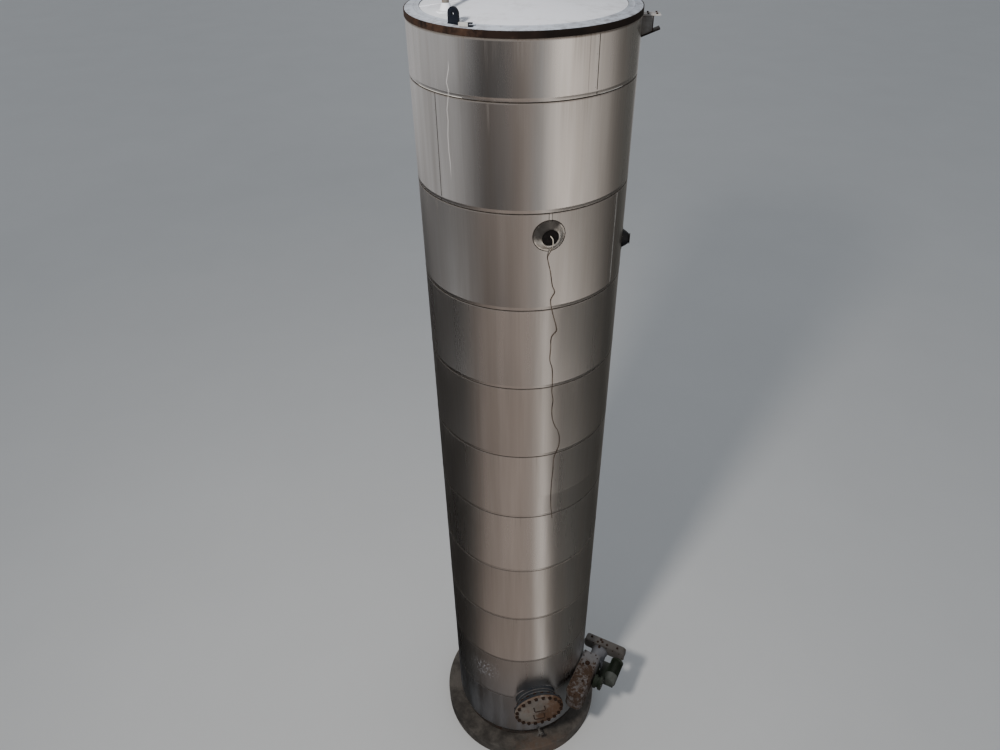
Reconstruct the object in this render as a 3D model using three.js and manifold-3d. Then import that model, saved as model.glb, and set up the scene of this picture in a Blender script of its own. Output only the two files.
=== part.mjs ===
// A vertical storage tank: a steel shell on a round concrete plinth, insulated and clad in courses
// of stainless sheet, with a low roof, a manway at the foot, two blind stubs near the top and a
// belt-driven agitator in the side. Millimetres, +Z up, the floor at z = 0, the front towards -Y.
// An azimuth is counted from the front, and grows towards +X.

import * as THREE from 'three';
import { mergeVertices } from 'three/addons/utils/BufferGeometryUtils.js';
import Module from 'manifold-3d';

const wasm = await Module();
wasm.setup();

// Driving dimensions

const SEGMENTS = 48; // sides of every ring round the tank's axis
const SIDES = 32; // sides of a round fitting, the same as of its hole
const ARC_STEPS = 8; // of a quarter or half turn in an outline
const ROD_SIDES = 8;
const GAP = 0.3; // between faces that touch

const PLINTH_RADIUS = 1250;
const PLINTH_HEIGHT = 250;
const PLINTH_CHAMFER = 18;

const BASE_PLATE_RADIUS = 985;
const BASE_PLATE_THICK = 12;

const SHELL_RADIUS = 950;
const SHELL_WALL = 6;

const CLAD_RADIUS = 1033;
const CLAD_BOTTOM = 450;
const FOOT_RING_THICK = 3;
// Heights of the sheets from the roof down: a cut one, then ten whole ones.
const COURSE_HEIGHTS = [476, 964, 1003, 958, 974, 993, 1028, 1040, 1039, 988, 987];
const CLAD_TOP = COURSE_HEIGHTS.reduce((top, height) => top + height, CLAD_BOTTOM);

const RIM_PROUD = 8;
const RIM_HEIGHT = 55;
const RIM_LIP = 4; // the band stands this far above the roof's edge
const ROOF_FALL = 92; // from the middle of the roof to its edge
const FLASHING_WIDTH = 125;
const FLASHING_THICK = 3;
const FLASHING_FOLD = 2.4;

const LUG = { azimuth: -36.5, radius: 965, width: 104, height: 124, thick: 24, hole: 12 };
const CLEAT = { azimuth: -28.6, radius: 998, length: 112, width: 26, height: 30, turn: -12, fork: 36 };
const ROOF_PIPE = { x: -654, y: -360, radius: 30.2, height: 230, flange: 82, flangeThick: 18 };

const FRONT_STUB = {
  azimuth: 11.4,
  height: 9235,
  radius: 84.2,
  bore: 78,
  proud: 52,
  collarFoot: 138,
  collarTop: 92,
};
const SIDE_STUB = {
  azimuth: 80,
  height: 8780,
  radius: 44.5,
  bore: 41,
  proud: 72,
  collarFoot: 98,
  collarTop: 50,
};
const STUB_INSIDE = 25; // a stub or nozzle reaches this far into the tank
const HOLE_DEPTH = { inside: 150, outside: 50 }; // how far a fitting's hole is cut past the walls
const COLLAR_SHORT = 6; // a collar ends this far behind its pipe's end
const PLUG = { recess: 14, thick: 24 };
const STUB_CAP = { radius: 54, thick: 8 };

const MANWAY = {
  azimuth: 10.8,
  height: 1420,
  neck: 305,
  inside: 70,
  wall: 8,
  flange: 377.5,
  flangeThick: 30,
  face: 1250, // from the tank's axis to the cover's outer face
  cover: 28,
};
const HANDLE = { width: 165, proud: 64, rod: 8, bend: 22, steps: 18, rises: { upper: 92, lower: -122 } };

const DRAIN = {
  azimuth: 13.8,
  height: 492,
  radius: 17,
  length: 116,
  flange: 48,
  flangeThick: 16,
  bore: 12,
  boreDepth: 30,
};

// The bracket's three pieces reach out from the cladding: the seat on top, the box under it, and the
// foot plate, which rises by the slope.
const BRACKET = {
  azimuth: 85.5,
  top: 10875,
  width: 112,
  seatReach: 158,
  boxInset: 10,
  boxReach: 96,
  footReach: 162,
  depth: 186,
  slope: 0.4,
  plate: 11,
};

// The agitator stands square to the tank at this azimuth. Its own axes are u, out from the tank's
// axis, and v, along the shell and away from the front.
const AGITATOR = { azimuth: 62, height: 1400 };
const AGITATOR_NOZZLE = { radius: 136.5, wall: 7, end: 1050 };
const GEAR_CASE = { u: [1050, 1310], v: [-620, 190], z: [1240, 1600], round: 90 };
const BEARING_HOUSING = { u: 1225, z: 1330, v: [190, 440], radius: 132 };
const BELT_GUARD = { u: [945, 1625], z: [1290, 1500], v: [440, 570], round: 62 };
const MOTOR = { u: 1538, z: 1240, v: [18, 440], radius: 100 };
const MOTOR_FOOT = { width: 160, share: 0.6, height: 30, sunk: 12 };
const MOTOR_BRACKET = { reach: 1605, v: [45, 430], webEnd: 185, webTop: 1340, thick: 14 };
const DRUM = { v: -95, z: 1335, hub: 45, hubLength: 24, length: 130, radius: 105, ribs: 2, groove: 24 };

const LEAD = { radius: 4, steps: 76, lift: 2 };

// Paints

const paint = (color, roughness, metalness) =>
  new THREE.MeshStandardMaterial({ color, roughness, metalness });
const cladding = paint(0xa8a29a, 0.32, 0.9);
const steel = paint(0x7d7a75, 0.6, 0.5);
const darkSteel = paint(0x3a2f2a, 0.7, 0.3);
const roofMetal = paint(0xbcc3cc, 0.5, 0.6);
const paleMetal = paint(0xc9beb0, 0.6, 0.4);
const concrete = paint(0x75706a, 0.95, 0);
const oldPaint = paint(0xb9b2a8, 0.7, 0.1);
const darkPaint = paint(0x2d332c, 0.6, 0.3);
const rubber = paint(0x101010, 0.7, 0);

// Shapes

const rad = THREE.MathUtils.degToRad;

// A profile of [radius, height] points, closed on itself, turned round the Z axis.
function turned(profile, segments = SEGMENTS) {
  const points = [...profile, profile[0]].map(([r, z]) => new THREE.Vector2(r, z));
  return new THREE.LatheGeometry(points, segments).rotateX(Math.PI / 2);
}

function ring(inner, outer, bottom, top, segments) {
  return turned([[inner, bottom], [outer, bottom], [outer, top], [inner, top]], segments);
}

function disc(radius, bottom, top, segments = SIDES) {
  return turned([[0, bottom], [radius, bottom], [radius, top], [0, top]], segments);
}

function block(width, depth, height) {
  return new THREE.BoxGeometry(width, depth, height);
}

// A round rod along a list of points.
function rod(points, radius, steps) {
  const path = new THREE.CatmullRomCurve3(points, false, 'centripetal');
  const section = new THREE.Shape();
  for (let i = 0; i < ROD_SIDES; i += 1) {
    const turn = (2 * Math.PI * i) / ROD_SIDES;
    const x = radius * Math.cos(turn);
    const y = radius * Math.sin(turn);
    if (i === 0) section.moveTo(x, y);
    else section.lineTo(x, y);
  }
  return new THREE.ExtrudeGeometry(section, { steps, extrudePath: path, curveSegments: ROD_SIDES });
}

// Joins and cuts

function solid(geometry) {
  const bare = new THREE.BufferGeometry();
  bare.setAttribute('position', geometry.getAttribute('position'));
  if (geometry.index) bare.setIndex(geometry.index);
  const merged = mergeVertices(bare, 1e-3);
  return new wasm.Manifold(
    new wasm.Mesh({
      numProp: 3,
      vertProperties: new Float32Array(merged.attributes.position.array),
      triVerts: new Uint32Array(merged.index.array),
    }),
  );
}

function shaped(body) {
  const { vertProperties, triVerts } = body.getMesh();
  const geometry = new THREE.BufferGeometry();
  geometry.setAttribute('position', new THREE.BufferAttribute(vertProperties, 3));
  geometry.setIndex(new THREE.BufferAttribute(triVerts, 1));
  return geometry;
}

function cut(geometry, ...tools) {
  return shaped(tools.reduce((body, tool) => body.subtract(solid(tool)), solid(geometry)));
}

function joined(first, ...others) {
  return shaped(others.reduce((body, other) => body.add(solid(other)), solid(first)));
}

// Places

// From a fitting's own frame, +Z along its axis, to the side of the tank: z = 0 is the tank's axis.
function toSide(geometry, azimuth, height) {
  return geometry
    .rotateX(Math.PI / 2)
    .rotateZ(rad(azimuth))
    .translate(0, 0, height);
}

// From u, v, z of the agitator to the tank's frame: u is drawn along +X, v along +Y.
function toAgitator(geometry) {
  return geometry.rotateZ(rad(AGITATOR.azimuth - 90));
}

// A point on the side of the tank.
function sidePoint(azimuth, height, radius) {
  const turn = rad(azimuth);
  return new THREE.Vector3(radius * Math.sin(turn), -radius * Math.cos(turn), height);
}

const tank = new THREE.Group();

function add(name, geometry, material) {
  const mesh = new THREE.Mesh(geometry, material);
  mesh.name = name;
  tank.add(mesh);
  return mesh;
}

// The room that a round fitting takes in the walls, a gap wider than the fitting.
function holeFor(radius, azimuth, height) {
  const tool = disc(radius + GAP, SHELL_RADIUS - HOLE_DEPTH.inside, CLAD_RADIUS + HOLE_DEPTH.outside);
  return toSide(tool, azimuth, height);
}

const wallHoles = [
  FRONT_STUB,
  SIDE_STUB,
  { azimuth: MANWAY.azimuth, height: MANWAY.height, radius: MANWAY.neck },
  { azimuth: AGITATOR.azimuth, height: AGITATOR.height, radius: AGITATOR_NOZZLE.radius },
  { azimuth: DRAIN.azimuth, height: DRAIN.height, radius: DRAIN.radius },
];

// A wall ring between two heights, with the fittings' holes that reach it.
function wall(inner, outer, bottom, top) {
  const holes = wallHoles.filter(
    (hole) => hole.height + hole.radius > bottom && hole.height - hole.radius < top,
  );
  const blank = ring(inner, outer, bottom, top);
  return cut(blank, ...holes.map((hole) => holeFor(hole.radius, hole.azimuth, hole.height)));
}

// Plinth and tank bottom

function plinth() {
  const foot = PLINTH_RADIUS;
  const edge = PLINTH_HEIGHT - PLINTH_CHAMFER;
  return turned([
    [0, 0],
    [foot, 0],
    [foot, edge],
    [foot - PLINTH_CHAMFER, PLINTH_HEIGHT],
    [0, PLINTH_HEIGHT],
  ]);
}

const baseTop = PLINTH_HEIGHT + GAP + BASE_PLATE_THICK;

add('plinth', plinth(), concrete);
add('bottom_plate', disc(BASE_PLATE_RADIUS, PLINTH_HEIGHT + GAP, baseTop, SEGMENTS), steel);

// Shell and cladding

add('steel_shell', wall(SHELL_RADIUS - SHELL_WALL, SHELL_RADIUS, baseTop + GAP, CLAD_TOP), steel);
add(
  'cladding_foot_ring',
  ring(SHELL_RADIUS + GAP, CLAD_RADIUS, CLAD_BOTTOM - FOOT_RING_THICK, CLAD_BOTTOM - GAP),
  darkSteel,
);

let courseTop = CLAD_TOP;
COURSE_HEIGHTS.forEach((height, index) => {
  const bottom = courseTop - height;
  const number = String(index + 1).padStart(2, '0');
  const course = wall(SHELL_RADIUS + GAP, CLAD_RADIUS, bottom, courseTop - GAP);
  add(`cladding_course_${number}`, course, cladding);
  courseTop = bottom;
});

// Roof

const roofBottom = CLAD_TOP + GAP;
const roofEdge = CLAD_TOP + RIM_HEIGHT - RIM_LIP;
const roofSlope = ROOF_FALL / CLAD_RADIUS;

function roofHeight(radius) {
  return roofEdge + roofSlope * (CLAD_RADIUS - radius);
}

function roof() {
  return turned([
    [0, roofBottom],
    [CLAD_RADIUS - GAP, roofBottom],
    [CLAD_RADIUS - GAP, roofEdge],
    [0, roofEdge + ROOF_FALL],
  ]);
}

const flashingInner = CLAD_RADIUS - FLASHING_WIDTH;
const flashingOuter = CLAD_RADIUS - GAP;

// The flashing is thicker at its folded inner edge.
function flashingTop(radius) {
  const share = (flashingOuter - radius) / (flashingOuter - flashingInner);
  return roofHeight(radius) + GAP + FLASHING_THICK + FLASHING_FOLD * share;
}

// The edge flashing lies on the roof sheet, inside the curb band.
function roofFlashing() {
  return turned([
    [flashingInner, roofHeight(flashingInner) + GAP],
    [flashingOuter, roofHeight(flashingOuter) + GAP],
    [flashingOuter, flashingTop(flashingOuter)],
    [flashingInner, flashingTop(flashingInner)],
  ]);
}

add('roof_plate', roof(), roofMetal);
add('roof_edge_flashing', roofFlashing(), roofMetal);
add('rim_band', ring(CLAD_RADIUS, CLAD_RADIUS + RIM_PROUD, roofBottom, CLAD_TOP + RIM_HEIGHT), darkSteel);

// A lifting eye: a plate with a round top, standing along the rim.
function lug() {
  const half = LUG.width / 2;
  const outline = new THREE.Shape();
  outline.moveTo(-half, 0);
  outline.lineTo(half, 0);
  outline.lineTo(half, LUG.height - half);
  outline.absarc(0, LUG.height - half, half, 0, Math.PI, false);
  outline.lineTo(-half, 0);
  const eye = new THREE.Path();
  eye.absarc(0, LUG.height - half, LUG.hole, 0, 2 * Math.PI, true);
  outline.holes.push(eye);
  const plate = new THREE.ExtrudeGeometry(outline, {
    depth: LUG.thick,
    bevelEnabled: false,
    curveSegments: ARC_STEPS,
  });
  return plate.translate(0, 0, -LUG.thick / 2).rotateX(Math.PI / 2);
}

[['lifting_lug', LUG.azimuth], ['lifting_lug_rear', LUG.azimuth + 180]].forEach(([name, azimuth]) => {
  const place = sidePoint(azimuth, flashingTop(LUG.radius - LUG.thick / 2) + GAP, LUG.radius);
  const plate = add(name, lug(), darkSteel);
  plate.position.copy(place);
  plate.rotation.z = rad(azimuth);
});

// A short cleat beside the front lug. Its end is forked, one prong above the other.
function cleat() {
  const middle = CLEAT.height / 2;
  const bar = block(CLEAT.length, CLEAT.width, CLEAT.height).translate(0, 0, middle);
  const slot = block(CLEAT.fork * 2, CLEAT.width * 2, CLEAT.height / 3);
  return cut(bar, slot.translate(CLEAT.length / 2, 0, middle));
}

const cleatPlace = sidePoint(CLEAT.azimuth, 0, CLEAT.radius);

// The corner of the cleat that is nearest to the middle of the roof sets its height.
function cleatInnerRadius() {
  const corners = [-1, 1].map((side) => {
    const corner = new THREE.Vector2((side * CLEAT.length) / 2, CLEAT.width / 2);
    corner.rotateAround(new THREE.Vector2(), rad(CLEAT.turn));
    return Math.hypot(cleatPlace.x + corner.x, cleatPlace.y + corner.y);
  });
  return Math.min(...corners);
}

const cleatMesh = add('roof_cleat', cleat(), steel);
cleatMesh.position.set(cleatPlace.x, cleatPlace.y, flashingTop(cleatInnerRadius()) + GAP);
cleatMesh.rotation.z = rad(CLEAT.turn);

// A roof pipe with a blind flange. Its foot follows the roof's slope.
const roofPipeTop = roofEdge + ROOF_FALL + ROOF_PIPE.height;

function roofPipe() {
  const tube = disc(ROOF_PIPE.radius, roofEdge, roofPipeTop).translate(ROOF_PIPE.x, ROOF_PIPE.y, 0);
  return cut(tube, roof().translate(0, 0, GAP));
}

function roofPipeFlange() {
  return disc(ROOF_PIPE.flange, roofPipeTop + GAP, roofPipeTop + GAP + ROOF_PIPE.flangeThick)
    .translate(ROOF_PIPE.x, ROOF_PIPE.y, 0);
}

add('roof_pipe', roofPipe(), steel);
add('roof_pipe_flange', roofPipeFlange(), steel);

// Side bracket

// A profile of [reach, height] points, drawn out along the shell and cut to the cladding's curve.
function bracketPiece(profile, width) {
  const outline = new THREE.Shape(profile.map(([reach, z]) => new THREE.Vector2(reach, z)));
  const body = new THREE.ExtrudeGeometry(outline, { depth: width, bevelEnabled: false })
    .translate(CLAD_RADIUS, 0, -width / 2)
    .rotateX(Math.PI / 2)
    .rotateZ(rad(BRACKET.azimuth - 90));
  return cut(body, disc(CLAD_RADIUS + GAP, 0, CLAD_TOP + RIM_HEIGHT, SEGMENTS));
}

const bracketBack = -40; // how far the profiles start inside the cladding's curve
const bracketFoot = BRACKET.top - BRACKET.depth;
const seatBottom = BRACKET.top - BRACKET.plate;

// The foot plate's underside, at a distance from the cladding.
function footHeight(reach) {
  return bracketFoot + BRACKET.slope * reach;
}

// A plate between two lines: its underside's heights at its two ends, and its thickness.
function bracketPlate(reach, atBack, atEnd) {
  return [
    [bracketBack, atBack],
    [reach, atEnd],
    [reach, atEnd + BRACKET.plate],
    [bracketBack, atBack + BRACKET.plate],
  ];
}

const boxLift = BRACKET.plate + GAP;
const boxProfile = [
  [bracketBack, footHeight(bracketBack) + boxLift],
  [BRACKET.boxReach, footHeight(BRACKET.boxReach) + boxLift],
  [BRACKET.boxReach, seatBottom - GAP],
  [bracketBack, seatBottom - GAP],
];
const seatProfile = bracketPlate(BRACKET.seatReach, seatBottom, seatBottom);
const footProfile = bracketPlate(BRACKET.footReach, footHeight(bracketBack), footHeight(BRACKET.footReach));

add('bracket_box', bracketPiece(boxProfile, BRACKET.width - 2 * BRACKET.boxInset), steel);
add('bracket_seat', bracketPiece(seatProfile, BRACKET.width), steel);
add('bracket_foot', bracketPiece(footProfile, BRACKET.width), darkSteel);

// Stubs near the top

const stubEnd = (place) => CLAD_RADIUS + place.proud;

// A pipe through the wall, welded to the shell.
function stub(place) {
  const pipe = ring(place.bore, place.radius, SHELL_RADIUS - STUB_INSIDE, stubEnd(place), SIDES);
  return toSide(pipe, place.azimuth, place.height);
}

// A cone of sheet that closes the cladding round the pipe.
function collar(place) {
  const top = stubEnd(place) - COLLAR_SHORT;
  const flare = (place.collarFoot - place.collarTop) / (top - CLAD_RADIUS);
  // The cone starts inside the cladding's curve, which then cuts it.
  const foot = SHELL_RADIUS;
  const wide = place.collarFoot + flare * (CLAD_RADIUS - foot);
  const cone = turned(
    [
      [place.radius + GAP, foot],
      [wide, foot],
      [place.collarTop, top],
      [place.radius + GAP, top],
    ],
    SIDES,
  );
  const height = place.collarFoot * 3;
  const core = disc(CLAD_RADIUS + GAP, -height, height, SEGMENTS).translate(0, 0, place.height);
  return cut(toSide(cone, place.azimuth, place.height), core);
}

function closure(place, radius, from, to) {
  return toSide(disc(radius, stubEnd(place) + from, stubEnd(place) + to), place.azimuth, place.height);
}

add('front_stub', stub(FRONT_STUB), steel);
add('front_stub_collar', collar(FRONT_STUB), paleMetal);
add(
  'front_stub_plug',
  closure(FRONT_STUB, FRONT_STUB.bore - GAP, -PLUG.recess - PLUG.thick, -PLUG.recess),
  rubber,
);
add('side_stub', stub(SIDE_STUB), steel);
add('side_stub_collar', collar(SIDE_STUB), paleMetal);
add('side_stub_cap', closure(SIDE_STUB, STUB_CAP.radius, GAP, STUB_CAP.thick), darkSteel);

// Manway

const manwayFlangeTop = MANWAY.face - MANWAY.cover - GAP;
const manwayFlangeFoot = manwayFlangeTop - MANWAY.flangeThick;

function manwayNeck() {
  const bore = MANWAY.neck - MANWAY.wall;
  const inner = SHELL_RADIUS - MANWAY.inside;
  const profile = [
    [bore, inner],
    [MANWAY.neck, inner],
    [MANWAY.neck, manwayFlangeFoot],
    [MANWAY.flange, manwayFlangeFoot],
    [MANWAY.flange, manwayFlangeTop],
    [bore, manwayFlangeTop],
  ];
  return toSide(turned(profile, SIDES), MANWAY.azimuth, MANWAY.height);
}

function manwayCover() {
  return toSide(disc(MANWAY.flange, MANWAY.face - MANWAY.cover, MANWAY.face), MANWAY.azimuth, MANWAY.height);
}

// A bent rod handle, drawn with its feet on y = 0 and its grip towards -Y.
function handle() {
  const half = HANDLE.width / 2;
  const { bend } = HANDLE;
  const grip = -HANDLE.proud;
  const side = (sign) => [
    new THREE.Vector3(sign * half, 0, 0),
    new THREE.Vector3(sign * half, (grip + bend) / 2, 0),
    new THREE.Vector3(sign * half, grip + bend, 0),
    new THREE.Vector3(sign * (half - bend / 3), grip + bend / 3, 0),
    new THREE.Vector3(sign * (half - bend), grip, 0),
  ];
  return rod([...side(-1), ...side(1).reverse()], HANDLE.rod, HANDLE.steps);
}

add('manway_neck', manwayNeck(), steel);
add('manway_cover', manwayCover(), paleMetal);
Object.entries(HANDLE.rises).forEach(([name, rise]) => {
  const grip = add(`manway_handle_${name}`, handle(), darkSteel);
  grip.position.copy(sidePoint(MANWAY.azimuth, MANWAY.height + rise, MANWAY.face + GAP));
  grip.rotation.z = rad(MANWAY.azimuth);
});

// Drain

// A small pipe low in the wall, with a flange and a plug deep in its bore.
function drain() {
  const start = SHELL_RADIUS - STUB_INSIDE;
  const end = CLAD_RADIUS + DRAIN.length;
  const face = end + DRAIN.flangeThick;
  const pipe = turned(
    [
      [0, start],
      [DRAIN.radius, start],
      [DRAIN.radius, end],
      [DRAIN.flange, end],
      [DRAIN.flange, face],
      [DRAIN.bore, face],
      [DRAIN.bore, face - DRAIN.boreDepth],
      [0, face - DRAIN.boreDepth],
    ],
    SIDES,
  );
  return toSide(pipe, DRAIN.azimuth, DRAIN.height);
}

add('drain_pipe', drain(), steel);

// Agitator

function agitatorNozzle() {
  const { radius, wall: thick, end } = AGITATOR_NOZZLE;
  const pipe = ring(radius - thick, radius, SHELL_RADIUS - STUB_INSIDE, end - GAP, SIDES);
  return toSide(pipe, AGITATOR.azimuth, AGITATOR.height);
}

// A closed case, round at its front end, which lies along the shell.
function gearCase() {
  const [inner, outer] = GEAR_CASE.u;
  const [front, back] = GEAR_CASE.v;
  const [bottom, top] = GEAR_CASE.z;
  const { round } = GEAR_CASE;
  const outline = new THREE.Shape();
  outline.moveTo(inner, back);
  outline.lineTo(inner, front + round);
  outline.absarc(inner + round, front + round, round, Math.PI, 1.5 * Math.PI, false);
  outline.lineTo(outer - round, front);
  outline.absarc(outer - round, front + round, round, 1.5 * Math.PI, 2 * Math.PI, false);
  outline.lineTo(outer, back);
  outline.lineTo(inner, back);
  const body = new THREE.ExtrudeGeometry(outline, {
    depth: top - bottom,
    bevelEnabled: false,
    curveSegments: ARC_STEPS,
  });
  return toAgitator(body.translate(0, 0, bottom));
}

// A round body along v.
function alongV(u, z, radius, from, to) {
  return disc(radius, from, to).rotateX(-Math.PI / 2).translate(u, 0, z);
}

// A flat case with round corners, which covers the belt behind the housing and the motor.
function beltGuard() {
  const [inner, outer] = BELT_GUARD.u;
  const [bottom, top] = BELT_GUARD.z;
  const [from, to] = BELT_GUARD.v;
  const { round } = BELT_GUARD;
  const outline = new THREE.Shape();
  outline.absarc(outer - round, bottom + round, round, -Math.PI / 2, 0, false);
  outline.absarc(outer - round, top - round, round, 0, Math.PI / 2, false);
  outline.absarc(inner + round, top - round, round, Math.PI / 2, Math.PI, false);
  outline.absarc(inner + round, bottom + round, round, Math.PI, 1.5 * Math.PI, false);
  outline.closePath();
  const body = new THREE.ExtrudeGeometry(outline, {
    depth: to - from - GAP,
    bevelEnabled: false,
    curveSegments: ARC_STEPS,
  });
  return toAgitator(body.rotateX(Math.PI / 2).translate(0, to, 0));
}

const motorFootBottom = MOTOR.z - MOTOR.radius + MOTOR_FOOT.sunk - MOTOR_FOOT.height;

function motor() {
  const [from, to] = MOTOR.v;
  const body = alongV(MOTOR.u, MOTOR.z, MOTOR.radius, from, to - GAP);
  const foot = block(MOTOR_FOOT.width, (to - from) * MOTOR_FOOT.share, MOTOR_FOOT.height).translate(
    MOTOR.u,
    (from + to) / 2,
    motorFootBottom + MOTOR_FOOT.height / 2,
  );
  return toAgitator(joined(body, foot));
}

// An angle that carries the motor: its web stands on the outer face of the gear case.
function motorBracket() {
  const { reach, v, webEnd, webTop, thick } = MOTOR_BRACKET;
  const inner = GEAR_CASE.u[1] + GAP;
  const top = motorFootBottom - GAP;
  const shelf = block(reach - inner, v[1] - v[0], thick).translate(
    (reach + inner) / 2,
    (v[0] + v[1]) / 2,
    top - thick / 2,
  );
  const web = block(thick, webEnd - v[0], webTop - top + thick).translate(
    inner + thick / 2,
    (v[0] + webEnd) / 2,
    (webTop + top - thick) / 2,
  );
  return toAgitator(joined(shelf, web));
}

// A ribbed drum on a hub on the outer face of the case, its axis along u.
function drum() {
  const { hub, hubLength, length, radius, ribs, groove } = DRUM;
  const face = GEAR_CASE.u[1] + GAP;
  const from = face + hubLength;
  const pitch = length / (2 * ribs - 1);
  const profile = [[0, face], [hub, face], [hub, from]];
  for (let i = 0; i < ribs; i += 1) {
    const start = from + 2 * i * pitch;
    profile.push([radius, start]);
    profile.push([radius, start + pitch]);
    if (i < ribs - 1) {
      profile.push([radius - groove, start + pitch]);
      profile.push([radius - groove, start + 2 * pitch]);
    }
  }
  profile.push([0, from + length]);
  return toAgitator(turned(profile, SIDES).rotateY(Math.PI / 2).translate(0, DRUM.v, DRUM.z));
}

add('agitator_nozzle', agitatorNozzle(), steel);
add('agitator_gear_case', gearCase(), oldPaint);
add(
  'agitator_bearing_housing',
  toAgitator(
    alongV(
      BEARING_HOUSING.u,
      BEARING_HOUSING.z,
      BEARING_HOUSING.radius,
      BEARING_HOUSING.v[0] + GAP,
      BEARING_HOUSING.v[1] - GAP,
    ),
  ),
  oldPaint,
);
add('agitator_belt_guard', beltGuard(), oldPaint);
add('agitator_motor', motor(), oldPaint);
add('agitator_motor_bracket', motorBracket(), darkPaint);
add('agitator_drum', drum(), darkPaint);

// Sensor lead

// From the plug in the front stub, over the stub's lip and down the cladding: the azimuth and height
// of each point, and its distance from the tank's axis where it doesn't lie on the sheet.
const leadLies = CLAD_RADIUS + LEAD.radius + LEAD.lift;
const lip = stubEnd(FRONT_STUB);
const leadRoute = [
  [11.6, 9248, lip - PLUG.recess + GAP],
  [11.6, 9248, lip + 4],
  [12.1, 9236, lip + 20],
  [12.3, 9195, lip + 24],
  [12.2, 9148, lip + 12],
  [11.9, 9105, lip - 10],
  [11.4, 9066, CLAD_RADIUS + 18],
  [10.8, 9018],
  [11.4, 8958],
  [12.5, 8870],
  [13.9, 8709],
  [15.2, 8640],
  [13.2, 8560],
  [14.4, 8410],
  [16.7, 8245],
  [17.0, 8190],
  [14.4, 8130],
  [14.0, 7978],
  [13.8, 7840],
  [15.3, 7727],
  [15.7, 7525],
  [15.6, 7430],
  [16.5, 7301],
  [16.0, 7193],
  [16.6, 7045],
  [18.3, 6937],
  [20.3, 6858],
  [21.7, 6748],
  [21.5, 6629],
  [20.1, 6549],
  [18.4, 6453],
  [18.2, 6274],
  [17.5, 6055],
  [17.4, 5864],
  [17.7, 5665],
  [18.8, 5454],
].map(([azimuth, height, radius = leadLies]) => sidePoint(azimuth, height, radius));

add('sensor_lead', rod(leadRoute, LEAD.radius, LEAD.steps), darkSteel);

export default tank;
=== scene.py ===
# %% [markdown]
# A clad storage tank
#
# The object is a tall steel tank on a round concrete plinth. It is wrapped in insulation and in
# courses of brushed stainless sheet, and it carries a manway, two stubs, a roof with a dark curb and
# a belt-driven agitator. The construction comes in as a fixed frame of solids with true sizes, in
# metres, with the floor at z = 0 and the front towards -Y. This notebook dresses that frame: each
# piece is drawn where the frame says, so nothing has to be fitted afterwards.

import math

import bmesh
import bpy
from mathutils import Matrix, Vector, noise


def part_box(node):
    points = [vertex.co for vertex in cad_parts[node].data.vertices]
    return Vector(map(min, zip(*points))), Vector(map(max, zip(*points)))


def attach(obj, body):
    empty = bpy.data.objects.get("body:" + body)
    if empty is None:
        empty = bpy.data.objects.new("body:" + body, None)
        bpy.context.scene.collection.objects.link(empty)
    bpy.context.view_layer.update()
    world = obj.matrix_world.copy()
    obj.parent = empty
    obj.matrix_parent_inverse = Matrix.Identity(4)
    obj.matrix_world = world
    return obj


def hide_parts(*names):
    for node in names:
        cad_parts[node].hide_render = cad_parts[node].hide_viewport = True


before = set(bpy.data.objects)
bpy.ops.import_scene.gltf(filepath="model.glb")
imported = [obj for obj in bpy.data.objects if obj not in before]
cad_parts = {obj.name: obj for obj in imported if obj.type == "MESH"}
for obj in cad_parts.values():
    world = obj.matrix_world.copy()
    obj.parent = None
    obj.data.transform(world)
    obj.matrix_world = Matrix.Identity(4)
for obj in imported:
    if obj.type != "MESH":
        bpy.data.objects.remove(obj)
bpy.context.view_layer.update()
scene = bpy.context.scene


def put(name, data):
    """A new object in the scene, at the origin."""
    made = bpy.data.objects.new(name, data)
    scene.collection.objects.link(made)
    return made


# %% [markdown]
# The camera
#
# A tall tank seen from above shows how far the camera leans: its sides draw together towards the
# foot. Place, lean and lens were worked out from the roof's edge, the seams and the two outlines.
# The camera's own axes are built from that lean and put in one matrix, which is plainer than angles
# in a row because the order of turns can't be mistaken.

# %% Camera
CAMERA_PLACE = Vector((-0.2634, -7.0502, 12.257))
CAMERA_LEAN = math.radians(37.22)
CAMERA_ROLL = math.radians(1.09)
CAMERA_LENS = 26.51
CAMERA_SEES = 500


def camera_matrix(place, lean, roll):
    ahead = Vector((0, math.cos(lean), -math.sin(lean)))
    right = Vector((1, 0, 0))
    down = ahead.cross(right)
    image_right = math.cos(roll) * right + math.sin(roll) * down
    image_down = math.cos(roll) * down - math.sin(roll) * right
    axes = Matrix((image_right, -image_down, -ahead)).transposed()
    return Matrix.Translation(place) @ axes.to_4x4()


camera_data = bpy.data.cameras.new("photo_camera")
camera_data.lens = CAMERA_LENS
camera_data.clip_end = CAMERA_SEES
camera = put("photo_camera", camera_data)
camera.matrix_world = camera_matrix(CAMERA_PLACE, CAMERA_LEAN, CAMERA_ROLL)
scene.camera = camera
print("camera at", tuple(round(x, 2) for x in camera.location))

# %% [markdown]
# Places on the tank
#
# Everything stands round one axis, so a place on the side is an azimuth, counted from the front and
# growing towards +X, and a height. The driving sizes are read from the frame instead of typed, so a
# change in the construction moves the looks with it.

# %% Places and sizes read from the frame
MM = 0.001
CLAD_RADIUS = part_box("cladding_course_01")[1].x
CLAD_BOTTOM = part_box("cladding_course_11")[0].z
CLAD_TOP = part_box("cladding_course_01")[1].z
COURSES = [f"cladding_course_{number:02d}" for number in range(1, 12)]


def side_point(azimuth, height, radius):
    turn = math.radians(azimuth)
    return Vector((radius * math.sin(turn), -radius * math.cos(turn), height))


def to_side(azimuth, height):
    """From a fitting's own axes, +Z out of the tank and +Y up, to the tank's."""
    turn = Matrix.Rotation(math.radians(azimuth), 4, "Z")
    return Matrix.Translation((0, 0, height)) @ turn @ Matrix.Rotation(math.pi / 2, 4, "X")


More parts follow.
